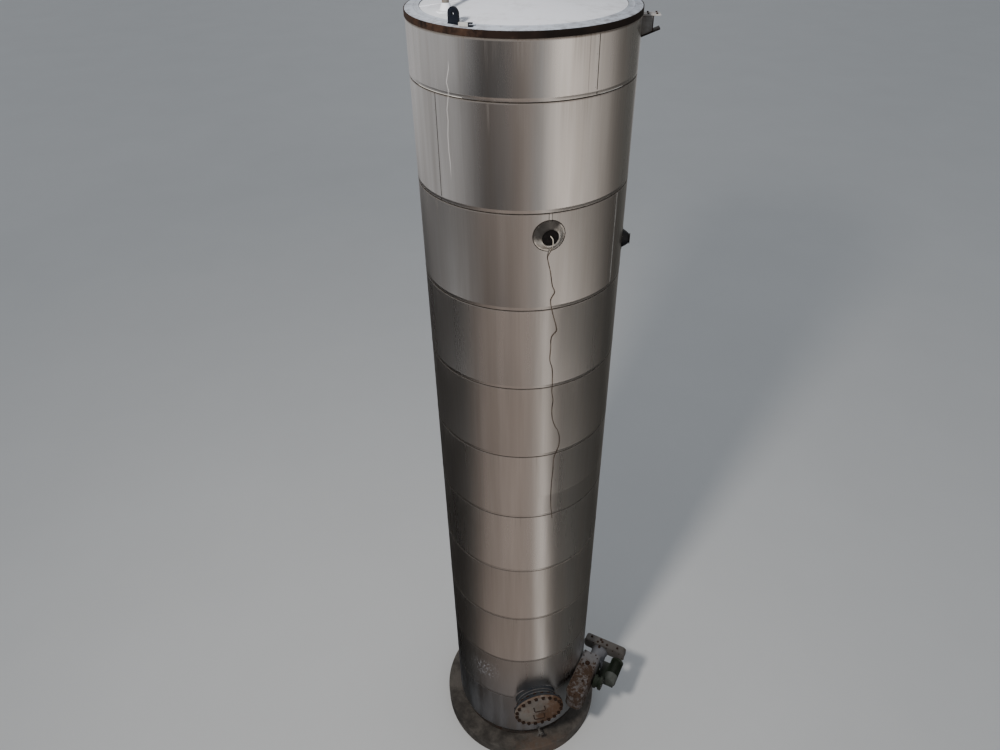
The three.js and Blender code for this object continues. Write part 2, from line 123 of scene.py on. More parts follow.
print("cladding radius", round(CLAD_RADIUS, 4), "from", round(CLAD_BOTTOM, 3), "to", round(CLAD_TOP, 3))

# %% [markdown]
# Node trees from arithmetic
#
# Materials and Geometry Nodes are both graphs. Drawing them node by node is long, and reading them
# back is longer. One small class wraps an output and overloads the operators, so that 1 - mask * 0.5
# adds its two Math nodes, and one method makes any other node from its settings and its sockets.

# %% A graph that is written as expressions
class Wire:
    """One output of a node. Arithmetic on it adds Math nodes to its graph."""

    def __init__(self, graph, socket):
        self.graph = graph
        self.socket = socket

    def math(self, operation, *operands):
        return self.graph.node("ShaderNodeMath", {"operation": operation}, dict(enumerate(operands)))

    def __add__(self, other):
        return self.math("ADD", self, other)

    def __sub__(self, other):
        return self.math("SUBTRACT", self, other)

    def __rsub__(self, other):
        return self.math("SUBTRACT", other, self)

    def __mul__(self, other):
        return self.math("MULTIPLY", self, other)

    def __abs__(self):
        return self.math("ABSOLUTE", self)

    __radd__ = __add__
    __rmul__ = __mul__


class Graph:
    """A tree of nodes, of a material or of Geometry Nodes."""

    def __init__(self, tree):
        self.tree = tree
        tree.nodes.clear()

    def node(self, kind, settings=None, sockets=None, out=0):
        made = self.tree.nodes.new(kind)
        for name, value in (settings or {}).items():
            if name == "stops":
                self.set_stops(made.color_ramp, value)
            else:
                setattr(made, name, value)
        for key, value in (sockets or {}).items():
            self.feed(made.inputs[key], value)
        return Wire(self, made.outputs[out]) if made.outputs else made

    def feed(self, socket, value):
        if isinstance(value, Wire):
            self.tree.links.new(value.socket, socket)
        else:
            socket.default_value = value

    def set_stops(self, ramp, stops):
        while len(ramp.elements) < len(stops):
            ramp.elements.new(1)
        for element, (place, colour) in zip(ramp.elements, stops):
            element.position = place
            element.color = (*colour, 1)

    def vector(self, operation, *operands, out=0):
        return self.node("ShaderNodeVectorMath", {"operation": operation}, dict(enumerate(operands)), out)

    def away(self, where, place=(0, 0, 0)):
        """How far a place is from another one."""
        return self.vector("DISTANCE", where, tuple(place), out=1)

    def ruler(self, where, direction):
        """How far a place lies along a direction."""
        return self.vector("DOT_PRODUCT", where, tuple(direction), out=1)

    def mix(self, share, first, second):
        """Two colours by a share. The sockets of a Mix node are found by number."""
        sockets = {0: share, 6: rgba(first), 7: rgba(second)}
        return self.node("ShaderNodeMix", {"data_type": "RGBA"}, sockets, 2)

    def noise(self, where, scale, detail, rough):
        sockets = {"Vector": where, "Scale": scale, "Detail": detail, "Roughness": rough}
        return self.node("ShaderNodeTexNoise", {}, sockets)

    def streaks(self, where, scales, detail, rough):
        """A noise with a scale of its own along each axis, so that it's drawn out."""
        return self.noise(self.vector("MULTIPLY", where, scales), 1.0, detail, rough)

    def between(self, value, low, high, start=0.0, end=1.0):
        """Goes softly from start to end while the value goes from low to high."""
        sockets = {0: value, 1: low, 2: high, 3: start, 4: end}
        return self.node("ShaderNodeMapRange", {"interpolation_type": "SMOOTHSTEP"}, sockets)

    def parts(self, where):
        split = self.node("ShaderNodeSeparateXYZ", {}, {0: where})
        return [Wire(self, socket) for socket in split.socket.node.outputs]


def rgba(colour):
    return colour if isinstance(colour, Wire) else (*colour, 1)


print("graph ready")

# %% [markdown]
# A material's frame
#
# Every finish here ends in one Principled shader. Colour, roughness and metal may vary over the
# surface, and relief goes through a Bump node. Values that are the same all over, such as how much a
# brushed face smears its highlights, are set straight on the shader's sockets.

# %% Start and end of a material
def material(name):
    made = bpy.data.materials.new(name)
    made.use_nodes = True
    graph = Graph(made.node_tree)
    return made, graph, graph.node("ShaderNodeTexCoord", {}, {}, "Object")


def finish(graph, colour, rough, metal=0.0, relief=None, depth=1 * MM, **constants):
    sockets = {"Base Color": rgba(colour), "Roughness": rough, "Metallic": metal}
    sockets.update({key.replace("_", " "): value for key, value in constants.items()})
    if relief is not None:
        sockets["Normal"] = graph.node("ShaderNodeBump", {}, {"Distance": depth, "Height": relief})
    shader = graph.node("ShaderNodeBsdfPrincipled", {}, sockets)
    graph.node("ShaderNodeOutputMaterial", {}, {"Surface": shader})


print("materials end in one shader each")

# %% [markdown]
# Damage on the sheets
#
# Two marks sit in one place only. A long wavy crease runs down the two highest sheets on the left,
# and its line is also painted bright, as a painted highlight. Something pale has splashed the sheets
# near the foot. Both could be pieces of their own, but a crease is part of its sheet, so each is a
# share from 0 to 1 that the material works out from the place. The crease's line is a colour ramp:
# its stops give the distance to the right by height.

# %% Crease and splashes
CREASE_AZIMUTH = -39.5
CREASE = [(9.7, -6), (9.84, -6), (9.95, -15), (10.09, -16), (10.21, -3), (10.3, -9), (10.37, 5),
          (10.46, 20), (10.53, 1), (10.64, 33)]
CREASE_SHARP = 2.5 * MM
CREASE_SOFT = 8 * MM
SPLASH_AZIMUTH = -34
SPLASH_HEIGHT = 1.98
SPLASH_FULL = 0.08
SPLASH_REACH = 0.32


def crease_share(graph, where):
    """1 on the crease's line and 0 beside it; CREASE holds heights, and millimetres to the right."""
    aside = graph.ruler(where, side_point(CREASE_AZIMUTH + 90, 0, 1))
    outward = graph.ruler(where, side_point(CREASE_AZIMUTH, 0, 1))
    height = graph.parts(where)[2]
    low, high = CREASE[0][0], CREASE[-1][0]
    stops = [((z - low) / (high - low), (side / 100 + 0.5,) * 3) for z, side in CREASE]
    line = graph.node("ShaderNodeValToRGB", {"stops": stops}, {0: (height - low) * (1 / (high - low))})
    away = abs(aside - (line - 0.5) * 0.1)
    ends = graph.between(height, 9.66, 9.86) * graph.between(height, 10.63, 10.72, 1, 0)
    return graph.between(away, CREASE_SHARP, CREASE_SOFT, 1, 0) * graph.between(outward, 0.2, 0.5) * ends


def splash_share(graph, where):
    """Specks that grow fewer away from the middle of the splash."""
    away = graph.away(where, side_point(SPLASH_AZIMUTH, SPLASH_HEIGHT, CLAD_RADIUS))
    specks = graph.streaks(where, (45, 45, 26), 3, 0.6)
    return graph.between(away, SPLASH_FULL, SPLASH_REACH, 1, 0) * graph.between(specks, 0.53, 0.62)


print("crease at azimuth", CREASE_AZIMUTH, "and splashes at", SPLASH_AZIMUTH)

# %% [markdown]
# Brushed stainless sheet
#
# The sheets are rolled steel with a grain that runs round the tank. A grain spreads reflections
# across itself, so whatever the steel mirrors is drawn out into upright bands. That is what the
# anisotropy is for. It could be faked with painted streaks, but then the bands would stay put when
# the view moves. Weather adds what is really on the sheet: faint upright runs below each seam, dull
# patches, a bluish bloom and a little brown dirt near the foot, and a soft waviness that bends the
# bands. A thin dark band just under each seam is dirt and also painted shade under the lap's edge.
# The crease and the splashes are laid over that, and the crease's line is painted bright as a
# highlight.

# %% Material of the cladding
STEEL_LIGHT = (0.66, 0.65, 0.64)
STEEL_DULL = (0.56, 0.54, 0.52)
STEEL_DIRT_AND_SHADE = (0.2, 0.16, 0.13)
STEEL_BLOOM = (0.5, 0.56, 0.63)
CREASE_HIGHLIGHT = (0.9, 0.88, 0.86)
SPLASH_PALE = (0.62, 0.63, 0.7)


def brushed_sheet():
    made, graph, where = material("brushed_cladding")
    height = graph.parts(where)[2]
    tone = graph.node("ShaderNodeAttribute", {"attribute_name": "tone"}, {}, "Fac")
    drop = graph.node("ShaderNodeAttribute", {"attribute_name": "drop"}, {}, "Fac")
    runs = graph.streaks(where, (7, 7, 0.3), 5, 0.58)
    fine = graph.streaks(where, (55, 55, 1.0), 3, 0.6)
    grain = graph.streaks(where, (3, 3, 900), 2, 0.6)
    cloud = graph.streaks(where, (1.4, 1.4, 0.9), 3, 0.5)
    waves = graph.streaks(where, (2.2, 2.2, 1.0), 2, 0.4)
    dull = graph.between(runs * 0.62 + fine * 0.12 + tone * 0.26, 0.36, 0.66)
    colour = graph.mix(dull, STEEL_LIGHT, STEEL_DULL)
    patches = graph.between(cloud * 0.4 + runs * 0.6, 0.3, 0.5, 0.6, 1)
    colour = graph.mix(graph.between(height, 0.7, 2.9, 0.85, 0) * patches, colour, STEEL_BLOOM)
    # A dark band 8 to 24 mm below each sheet's top, just under the seam above: dirt and painted shade under
    # the lap's edge.
    line = graph.between(drop, 0.008, 0.024, 0.75, 0)
    below_seam = graph.between(drop, 0.0, 0.35, 1, 0) * graph.between(fine * 0.5 + runs * 0.5, 0.5, 0.66)
    near_foot = graph.between(height, 0.5, 2.3, 0.7, 0) * graph.between(cloud * 0.5 + runs * 0.5, 0.4, 0.6)
    dirt_and_seam_shade = graph.node("ShaderNodeClamp", {}, {0: line + below_seam * 0.2 + near_foot * 0.5})
    colour = graph.mix(dirt_and_seam_shade, colour, STEEL_DIRT_AND_SHADE)
    crease, splash = crease_share(graph, where), splash_share(graph, where)
    # The crease's line is painted bright: a painted highlight along the bumped crease.
    colour = graph.mix(crease * 0.4, colour, CREASE_HIGHLIGHT)
    colour = graph.mix(splash * 0.55, colour, SPLASH_PALE)
    rough = 0.27 + dull * 0.06 + dirt_and_seam_shade * 0.25
    metal = 1 - dirt_and_seam_shade * 0.4 - splash * 0.4 - crease * 0.25
    relief = waves * 4 + fine * 0.04 + grain * 0.03 + crease * 0.8
    finish(graph, colour, rough, metal, relief, Anisotropic=0.55, Anisotropic_Rotation=0.25)
    return made


CLADDING = brushed_sheet()
print("material", CLADDING.name)

# %% [markdown]
# The dull, painted and rusted finishes
#
# The rest of the tank is painted steel that has stood outside for years. Paint breaks down in the
# same order everywhere: it fades in patches, spots of rust come through, and the rust runs down. One
# recipe with different colours and amounts therefore serves the curb, the pipes, the manway and the
# machine. A bump node sinks the bare spots a little below the paint.

# %% Weathered paint
def weathered_paint(name, paint, faded, rust, amount, scale, rough=0.55, extra=None, sheen=0.5,
                    soft=0.03):
    """amount is the share of the surface that rust has taken, and extra adds to it by place.
    rust holds the dark and the light rust, and soft is how gently the paint ends at a spot."""
    made, graph, where = material(name)
    cloud = graph.noise(where, scale * 0.35, 4, 0.6)
    spots = graph.noise(where, scale, 8, 0.68)
    specks = graph.noise(where, scale * 7, 4, 0.6)
    runs = graph.streaks(where, (scale * 2.2, scale * 2.2, scale * 0.25), 4, 0.6)
    worn = spots * 0.55 + specks * 0.15 + runs * 0.3
    if extra is not None:
        worn = worn + extra(graph, where)
    edge = 0.72 - amount * 0.4
    bare = graph.between(worn, edge - soft, edge + soft)
    halo = graph.between(worn, edge - 0.09 - soft, edge + 0.02)
    colour = graph.mix(graph.between(cloud, 0.35, 0.65), paint, faded)
    colour = graph.mix(halo * 0.45, colour, rust[1])
    colour = graph.mix(bare, colour, graph.mix(specks, *rust))
    relief = (1 - bare) * 0.35 + specks * bare * 0.5 + specks * 0.05
    rough = rough + bare * (0.92 - rough) * 0.9
    finish(graph, colour, rough, 0.0, relief, 1.2 * MM, Specular_IOR_Level=sheen)
    return made


RUST = ((0.04, 0.018, 0.01), (0.17, 0.075, 0.03))
OLD_RUST = ((0.018, 0.01, 0.007), (0.058, 0.034, 0.024))


def along(direction, start, end, gain):
    """Adds up to gain to the wear while the place goes from start to end along a direction."""
    def extra(graph, where):
        return graph.between(graph.ruler(where, direction), start, end, 0, gain)
    return extra


# The curb's paint grows browner towards -X, the left: painted sunlight on that side, in rust colours.
CURB_DARK_SUNLIT_LEFT = weathered_paint(
    "curb_dark_sunlit_left", (0.006, 0.0045, 0.004), (0.016, 0.01, 0.008), OLD_RUST, 0.12, 6, 0.7,
    along((-1, -0.15, 0), 0.3, 0.7, 0.17), 0.2)
# Near-black blue, darkened to carry the shade that the front lug stands in: partly painted shade.
LUG_BLUE = weathered_paint(
    "lug_blue_black", (0.003, 0.004, 0.007), (0.007, 0.009, 0.015), OLD_RUST, 0.1, 14, sheen=0.3)
PIPE_GREY = weathered_paint("pipe_grey", (0.13, 0.122, 0.11), (0.19, 0.18, 0.16), RUST, 0.3, 12)
BASE_DARK = weathered_paint("base_dark", (0.03, 0.026, 0.023), (0.05, 0.042, 0.036), OLD_RUST, 0.4, 10, 0.8)
SEAT_GREY = weathered_paint("seat_grey", (0.42, 0.42, 0.41), (0.3, 0.29, 0.28), RUST, 0.22, 16)
# Near-black blue-grey, which also stands for the shade in the recess between the cladding and the cover:
# partly painted shade.
NECK_BLUE = weathered_paint("neck_blue_grey", (0.018, 0.023, 0.032), (0.038, 0.041, 0.045), OLD_RUST, 0.2, 8)
BOLT_RUST = weathered_paint(
    "bolt_rust", (0.012, 0.008, 0.006), (0.03, 0.018, 0.012), OLD_RUST, 0.5, 40, 0.85, sheen=0.2)
BRIGHT_BOLT = weathered_paint("plated_bolt", (0.3, 0.29, 0.27), (0.2, 0.18, 0.16), RUST, 0.3, 60, 0.45)
HANDLE_RUST = weathered_paint(
    "handle_rust", (0.02, 0.012, 0.009), (0.04, 0.024, 0.016), OLD_RUST, 0.4, 30, 0.8)
# A near-black green for the motor, its angle and the drum, which also stands for the shade under the belt
# guard between the case and the motor: partly painted shade.
DARK_GREEN_AND_SHADE = weathered_paint("machine_green_and_shade", (0.008, 0.014, 0.008), (0.022, 0.03, 0.02), OLD_RUST, 0.16, 14)
DRAIN_GREY = weathered_paint("drain_grey", (0.17, 0.16, 0.15), (0.09, 0.084, 0.075), OLD_RUST, 0.25, 30)
BOX_GREY = weathered_paint("bracket_grey", (0.24, 0.24, 0.235), (0.12, 0.115, 0.11), OLD_RUST, 0.3, 16)
print("painted finishes ready")

# %% [markdown]
# Finishes that know where they are
#
# Two pieces are stained in one place only. The manway's cover has rusted on its right half, round
# its bolts and under its lower handle, and the paint on the gear case flakes towards its front end. A
# share that grows along a direction is added to the recipe: the dot product of the place and that
# direction is a plain number, like a ruler laid on the surface.

# %% Stains along a direction
MANWAY_AZIMUTH = 10.8
MANWAY_HEIGHT = 1.42
COVER_FACE = 1.25
COVER_RUST = ((0.055, 0.026, 0.014), (0.17, 0.094, 0.052))
across_manway = side_point(MANWAY_AZIMUTH + 90, 0, 1) + Vector((0, 0, -0.35))
across_middle = across_manway.dot(side_point(MANWAY_AZIMUTH, MANWAY_HEIGHT, COVER_FACE))


def cover_stain(graph, where):
    """Rust grows to the right, gathers round the lower handle and rings the bolts."""
    right = along(across_manway, across_middle - 0.08, across_middle + 0.3, 0.25)(graph, where)
    under_handle = side_point(MANWAY_AZIMUTH + 2, MANWAY_HEIGHT - 0.16, COVER_FACE)
    bolt_heads = side_point(MANWAY_AZIMUTH, MANWAY_HEIGHT, COVER_FACE + 20 * MM)
    ring = graph.between(graph.away(where, bolt_heads), 0.3, 0.36, 0, 0.1)
    return right + ring + graph.between(graph.away(where, under_handle), 0.03, 0.16, 0.14, 0)


# The cover's paint is darkened to carry the shade over the foot of the tank: painted shade.
COVER_PALE = weathered_paint(
    "cover_pale", (0.21, 0.186, 0.162), (0.16, 0.14, 0.12), COVER_RUST, 0.2, 9, 0.6, cover_stain,
    soft=0.12)

AGITATOR_AZIMUTH = 62
CASE_RUST = ((0.022, 0.012, 0.008), (0.08, 0.05, 0.033))
case_flakes = along(side_point(AGITATOR_AZIMUTH - 90, 0, 1), -0.1, 0.12, 0.13)
# The machine's paints, on the case, housing, guard and motor, are darkened to carry the shade over the
# machine at the foot: painted shade.
CASE_PAINT = weathered_paint(
    "case_flaking_paint", (0.15, 0.147, 0.152), (0.1, 0.094, 0.093), CASE_RUST, 0.27, 11, 0.6, case_flakes)
HOUSING_PAINT = weathered_paint(
    "housing_grey", (0.14, 0.144, 0.16), (0.105, 0.107, 0.117), RUST, 0.1, 7, 0.42)
GUARD_PAINT = weathered_paint(
    "guard_pale", (0.115, 0.107, 0.1), (0.078, 0.071, 0.065), OLD_RUST, 0.2, 10, 0.6)
MOTOR_PAINT = weathered_paint(
    "motor_grey_green", (0.08, 0.088, 0.078), (0.045, 0.052, 0.044), OLD_RUST, 0.15, 8, 0.5)
print("stained finishes ready")

# %% [markdown]
# Roof sheet, concrete, rubber and jacket
#
# The roof is the same kind of sheet as the walls, but rain and sun have turned it chalky, so it
# scatters light more than it mirrors. The flashing round it is darker and more stained. The plinth
# is cast concrete: blotches of damp, a skin of fine grit, and rust that has washed down from the
# manway in front. The rubber parts only need a fine unevenness, because a black surface shows its
# shape by gloss alone.

# %% Roof sheet and concrete
def chalky_sheet(name, pale, stained):
    made, graph, where = material(name)
    cloud = graph.noise(where, 2.2, 6, 0.62)
    marks = graph.noise(where, 14.0, 6, 0.7)
    reach = graph.away(graph.vector("MULTIPLY", where, (1, 1, 0)))
    edge = graph.between(reach, 0.84, 1.03) * graph.between(marks, 0.42, 0.6)
    patches = graph.between(cloud * 0.6 + marks * 0.4, 0.5, 0.68) * 0.45
    stain = graph.node("ShaderNodeClamp", {}, {0: patches + edge * 0.4})
    colour = graph.mix(stain, pale, stained)
    relief = graph.noise(where, 3.0, 2, 0.5) * 4 + marks * 0.2
    finish(graph, colour, 0.6 + stain * 0.25, 0.05, relief, Specular_IOR_Level=0.3)
    return made


CONCRETE_PALE = (0.13, 0.115, 0.1)
CONCRETE_DARK = (0.045, 0.04, 0.035)
CONCRETE_RUST = (0.13, 0.062, 0.03)


def cast_concrete():
    made, graph, where = material("cast_concrete")
    x, y = graph.parts(where)[:2]
    blotch = graph.noise(where, 2.4, 8, 0.65)
    grit = graph.noise(where, 70.0, 5, 0.7)
    pits = graph.node("ShaderNodeTexVoronoi", {}, {"Vector": where, "Scale": 38.0})
    runs = graph.streaks(where, (12, 12, 1.2), 5, 0.6)
    colour = graph.mix(graph.between(blotch, 0.36, 0.64), CONCRETE_DARK, CONCRETE_PALE)
    colour = graph.mix(graph.between(grit, 0.35, 0.7) * 0.35, colour, CONCRETE_DARK)
    front = graph.between(y, -0.9, -1.2) * graph.between(abs(x - 0.35), 0.15, 0.75, 1, 0)
    rusty = front * graph.between(runs * 0.6 + blotch * 0.4, 0.38, 0.62)
    colour = graph.mix(rusty * 0.45, colour, CONCRETE_RUST)
    # The pits are darkened as well as sunk: painted shade in them.
    hole = graph.between(pits, 0.0, 0.16, 1, 0) * graph.between(blotch, 0.45, 0.55)
    colour = graph.mix(hole * 0.6, colour, CONCRETE_DARK)
    finish(graph, colour, 0.88 + grit * 0.08, 0.0, grit * 0.5 + blotch - hole * 1.5, 3 * MM)
    return made


ROOF_SHEET = chalky_sheet("chalky_roof_sheet", (0.8, 0.82, 0.88), (0.45, 0.44, 0.45))
FLASHING = chalky_sheet("stained_flashing", (0.46, 0.5, 0.57), (0.17, 0.16, 0.165))
CONCRETE = cast_concrete()
print("materials", ROOF_SHEET.name, FLASHING.name, CONCRETE.name)

# %% Rubber, mastic and the lead's jacket
def rubber(name, colour, worn, rough):
    made, graph, where = material(name)
    patch = graph.noise(where, 30.0, 6, 0.65)
    fine = graph.noise(where, 300.0, 3, 0.6)
    shade = graph.mix(graph.between(patch, 0.4, 0.65), colour, worn)
    finish(graph, shade, rough + patch * 0.2, 0.0, fine * 0.3 + patch * 0.2, 0.6 * MM)
    return made


def lead_jacket(pale_above):
    """Pale where it is new and dry at the exit, and dark brown with dirt below."""
    made, graph, where = material("lead_jacket")
    height = graph.parts(where)[2]
    patch = graph.streaks(where, (40, 40, 9), 4, 0.6)
    share = graph.between(height + patch * 0.05, pale_above - 0.06, pale_above + 0.03)
    dark = graph.mix(graph.between(patch, 0.4, 0.65), (0.045, 0.03, 0.02), (0.13, 0.1, 0.075))
    colour = graph.mix(share, dark, (0.55, 0.5, 0.42))
    finish(graph, colour, 0.55 + patch * 0.2, 0.0, patch, 0.4 * MM)
    return made


PLUG_RUBBER = rubber("plug_rubber", (0.002, 0.002, 0.002), (0.008, 0.006, 0.006), 0.8)
MASTIC = rubber("lap_mastic", (0.008, 0.006, 0.005), (0.035, 0.028, 0.022), 0.75)
GASKET = rubber("gasket", (0.02, 0.018, 0.016), (0.05, 0.04, 0.035), 0.7)
print("materials", len(bpy.data.materials))

# %% [markdown]
# The sensor lead
#
# A thin dark lead comes out of the plug in the front stub, bends over the stub's lip and hangs down
# the sheets in a crooked line. It is a free cord, so it is one open curve with a round bevel. The
# points were chosen along the line, and a centripetal curve through them keeps its kinks without
# overshooting, which a plain smooth curve would do at the close-set points.

# %% Lead
LEAD_RADIUS = 4 * MM
LEAD_PALE_ABOVE = 9.195
LEAD_LIES = CLAD_RADIUS + LEAD_RADIUS + 2 * MM
STUB_LIP = CLAD_RADIUS + 52 * MM
LEAD_EXIT = STUB_LIP - 13.7 * MM
ARCH = [
    (11.6, 9.248, LEAD_EXIT), (11.6, 9.248, STUB_LIP + 4 * MM), (12.1, 9.236, STUB_LIP + 20 * MM),
    (12.3, 9.195, STUB_LIP + 24 * MM), (12.2, 9.148, STUB_LIP + 12 * MM),
    (11.9, 9.105, STUB_LIP - 10 * MM), (11.4, 9.066, CLAD_RADIUS + 18 * MM)]
ON_THE_SHEETS = [
    (10.8, 9.018), (11.4, 8.958), (12.5, 8.870), (13.9, 8.709), (15.2, 8.640), (13.2, 8.560),
    (14.4, 8.410), (16.7, 8.245), (17.0, 8.190), (14.4, 8.130), (14.0, 7.978), (13.8, 7.840),
    (15.3, 7.727), (15.7, 7.525), (15.6, 7.430), (16.5, 7.301), (16.0, 7.193), (16.6, 7.045),
    (18.3, 6.937), (20.3, 6.858), (21.7, 6.748), (21.5, 6.629), (20.1, 6.549), (18.4, 6.453),
    (18.2, 6.274), (17.5, 6.055), (17.4, 5.864), (17.7, 5.665), (18.8, 5.454)]
LEAD_ROUTE = ARCH + [(azimuth, height, LEAD_LIES) for azimuth, height in ON_THE_SHEETS]


def centripetal(points, steps):
    """A centripetal Catmull-Rom curve through the points, in steps between each two."""
    ends = [2 * points[0] - points[1], *points, 2 * points[-1] - points[-2]]
    line = [points[0]]
    for a, b, c, d in zip(ends, ends[1:], ends[2:], ends[3:]):
        before, within, after = [(q - p).length ** 0.5 for p, q in ((a, b), (b, c), (c, d))]
        leaving = (b - a) / before - (c - a) / (before + within) + (c - b) / within
        arriving = (c - b) / within - (d - b) / (within + after) + (d - c) / after
        for step in range(1, steps + 1):
            t = step / steps
            line.append(
                b * (2 * t**3 - 3 * t**2 + 1) + leaving * within * (t**3 - 2 * t**2 + t)
                + c * (3 * t**2 - 2 * t**3) + arriving * within * (t**3 - t**2)
            )
    return line


lead_line = centripetal([side_point(*stop) for stop in LEAD_ROUTE], 6)
lead_length = sum((b - a).length for a, b in zip(lead_line, lead_line[1:]))


def cord_curve(name, line, radius):
    data = bpy.data.curves.new(name, "CURVE")
    data.dimensions = "3D"
    data.bevel_depth = radius
    data.bevel_resolution = 3
    data.use_fill_caps = True
    spline = data.splines.new("POLY")
    spline.points.add(len(line) - 1)
    for point, place in zip(spline.points, line):
        point.co = (*place, 1)
    return put(name, data)


lead = cord_curve("hanging_lead", lead_line, LEAD_RADIUS)
lead.data.materials.append(lead_jacket(LEAD_PALE_ABOVE))
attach(lead, "root")
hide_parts("sensor_lead")
print("lead of", round(lead_length, 3), "m")

# %% [markdown]
# Studio
#
# The floor is wide, pale and plain, and the light is soft: a broad sky and one large round lamp near
# the top, from the front left, whose light gets weaker towards the foot. A mirror-like cylinder shows
# its surroundings more than its lamps, and a camera that looks down sees the floor in it. So the
# studio has what a photographer of metal uses: a low bowl round the tank, with light panels in front
# and behind and darker cloths at the sides. It shows in reflections only. Its brightness is a table
# over the azimuth, for three distances on the floor and for the wall, because the higher a place on
# the tank is, the farther away lies what it mirrors.

# %% Floor
FLOOR_RADIUS = 260


def round_surface(name, line, columns, paint):
    """A surface of the studio, from a line of (radius, height) that is turned round the tank."""
    corners = [side_point(360 * i / columns, height, r) for r, height in line for i in range(columns)]
    faces = []
    for row in range(0, columns * (len(line) - 1), columns):
        for i in range(columns):
            j = (i + 1) % columns
            faces.append((row + i, row + j, row + columns + j, row + columns + i))
    mesh = bpy.data.meshes.new(name)
    mesh.from_pydata(corners, [], faces)
    mesh.materials.append(paint)
    made = put(name, mesh)
    return made


def floor_material():
    made, graph, where = material("studio_floor")
    cloud = graph.noise(where, 0.35, 4, 0.6)
    finish(graph, graph.mix(cloud, (0.7, 0.7, 0.69), (0.76, 0.76, 0.75)), 0.9)
    return made


# The floor lies a millimetre low, so that it doesn't meet the plinth's underside.
round_surface("studio_floor", [(0.01, -1 * MM), (FLOOR_RADIUS, -1 * MM)], 96, floor_material())
print("floor", 2 * FLOOR_RADIUS, "m across")

# %% Reflector
# Brightness of the reflector by azimuth: its wall, then the floor far off, at mid distance and near.
# The two tints are for the wall and far off, and for the rest.
COOL = (1.0, 0.98, 0.98)
TAN = (1.0, 0.86, 0.78)
CREAM = (1.0, 0.91, 0.83)
TAUPE = (1.0, 0.83, 0.73)
MOSS = (1.0, 0.98, 0.91)
SLATE = (0.93, 0.98, 1.0)
PANELS = [
    (-180, 1.40, 1.00, 0.200, 0.05, COOL, COOL),
    (-155, 0.90, 0.45, 0.030, 0.02, COOL, MOSS),
    (-135, 0.12, 0.58, 0.024, 0.008, COOL, CREAM),
    (-98, 0.05, 0.60, 0.022, 0.012, COOL, CREAM),
    (-80, 0.05, 0.66, 0.040, 0.025, COOL, CREAM),
    (-68, 0.05, 0.58, 0.085, 0.03, COOL, CREAM),
    (-56, 0.05, 0.30, 0.180, 0.036, COOL, TAUPE),
    (-40, 0.06, 0.06, 0.310, 0.052, COOL, TAUPE),
    (-20, 0.10, 0.11, 0.360, 0.095, COOL, TAUPE),
    (-4, 0.14, 0.24, 0.400, 0.12, TAN, TAUPE),
    (4, 0.20, 0.40, 0.350, 0.12, TAN, TAUPE),
    (12, 0.30, 0.26, 0.330, 0.09, SLATE, TAUPE),
    (18, 0.40, 0.44, 0.620, 0.085, COOL, CREAM),
    (26, 0.70, 0.80, 0.900, 0.075, CREAM, CREAM),
    (34, 1.00, 1.25, 0.220, 0.07, CREAM, CREAM),
    (46, 1.00, 1.35, 0.075, 0.06, CREAM, CREAM),
    (58, 0.80, 0.95, 0.085, 0.06, CREAM, MOSS),
    (80, 0.60, 0.55, 0.055, 0.05, CREAM, MOSS),
    (102, 0.30, 0.16, 0.042, 0.04, CREAM, MOSS),
    (125, 0.20, 0.10, 0.038, 0.035, MOSS, MOSS),
    (146, 0.50, 0.12, 0.110, 0.05, MOSS, MOSS),
    (180, 1.40, 1.00, 0.200, 0.05, COOL, COOL),
]
NEAR_ENDS = (1.7, 4.3)
MIDDLE_ENDS = (22, 33)
WALL_STARTS = (2, 16)


def reflector_material():
    """Light by azimuth, and by distance where it lies on the floor."""
    made, graph, where = material("studio_reflector")
    x, y, z = graph.parts(where)
    turn = x.math("ARCTAN2", x, y * -1) * (0.5 / math.pi) + 0.5
    zones = []
    for zone in (1, 2, 3, 4):
        tints = [row[5] if zone < 3 else row[6] for row in PANELS]
        stops = [((row[0] + 180) / 360, tuple(row[zone] * part for part in tint))
                 for row, tint in zip(PANELS, tints)]
        zones.append(graph.node("ShaderNodeValToRGB", {"stops": stops}, {0: turn}))
    wall, far, middle, near = zones
    distance = graph.away(graph.vector("MULTIPLY", where, (1, 1, 0)))
    lower = graph.mix(graph.between(distance, *NEAR_ENDS), near, middle)
    floor_part = graph.mix(graph.between(distance, *MIDDLE_ENDS), lower, far)
    colour = graph.mix(graph.between(z, *WALL_STARTS), floor_part, wall)
    light = graph.node("ShaderNodeEmission", {}, {"Color": colour})
    graph.node("ShaderNodeOutputMaterial", {}, {"Surface": light})
    made.cycles.emission_sampling = "NONE"
    return made


# A ring on the floor that turns up into a wall, with a lid on it.
BOWL_INNER, BOWL_OUTER = 1.27, 90
BOWL_LOW, BOWL_HIGH = 4 * MM, 300
bowl = [(BOWL_INNER, BOWL_LOW), (BOWL_OUTER, BOWL_LOW), (BOWL_OUTER, BOWL_HIGH), (BOWL_INNER, BOWL_HIGH)]
reflector = round_surface("studio_reflector", bowl, 192, reflector_material())
reflector.visible_camera = False
reflector.visible_diffuse = False
reflector.visible_shadow = False
reflector.visible_transmission = False
print("reflector with", len(PANELS), "steps of brightness")

# %% Sky and lamp
SKY = (0.86, 0.92, 1.0)
SKY_STRENGTH = 0.38
LAMP_PLACE = side_point(-30, 15.2, 8.2)
LAMP_TARGET = Vector((0, 0, 9.5))
LAMP_POWER = 1250
LAMP_SIZE = 1.3
LAMP_COLOUR = (1.0, 0.96, 0.91)

world = bpy.data.worlds.new("studio_sky")
scene.world = world
world.use_nodes = True
sky = world.node_tree.nodes["Background"]
sky.inputs["Color"].default_value = (*SKY, 1)
sky.inputs["Strength"].default_value = SKY_STRENGTH

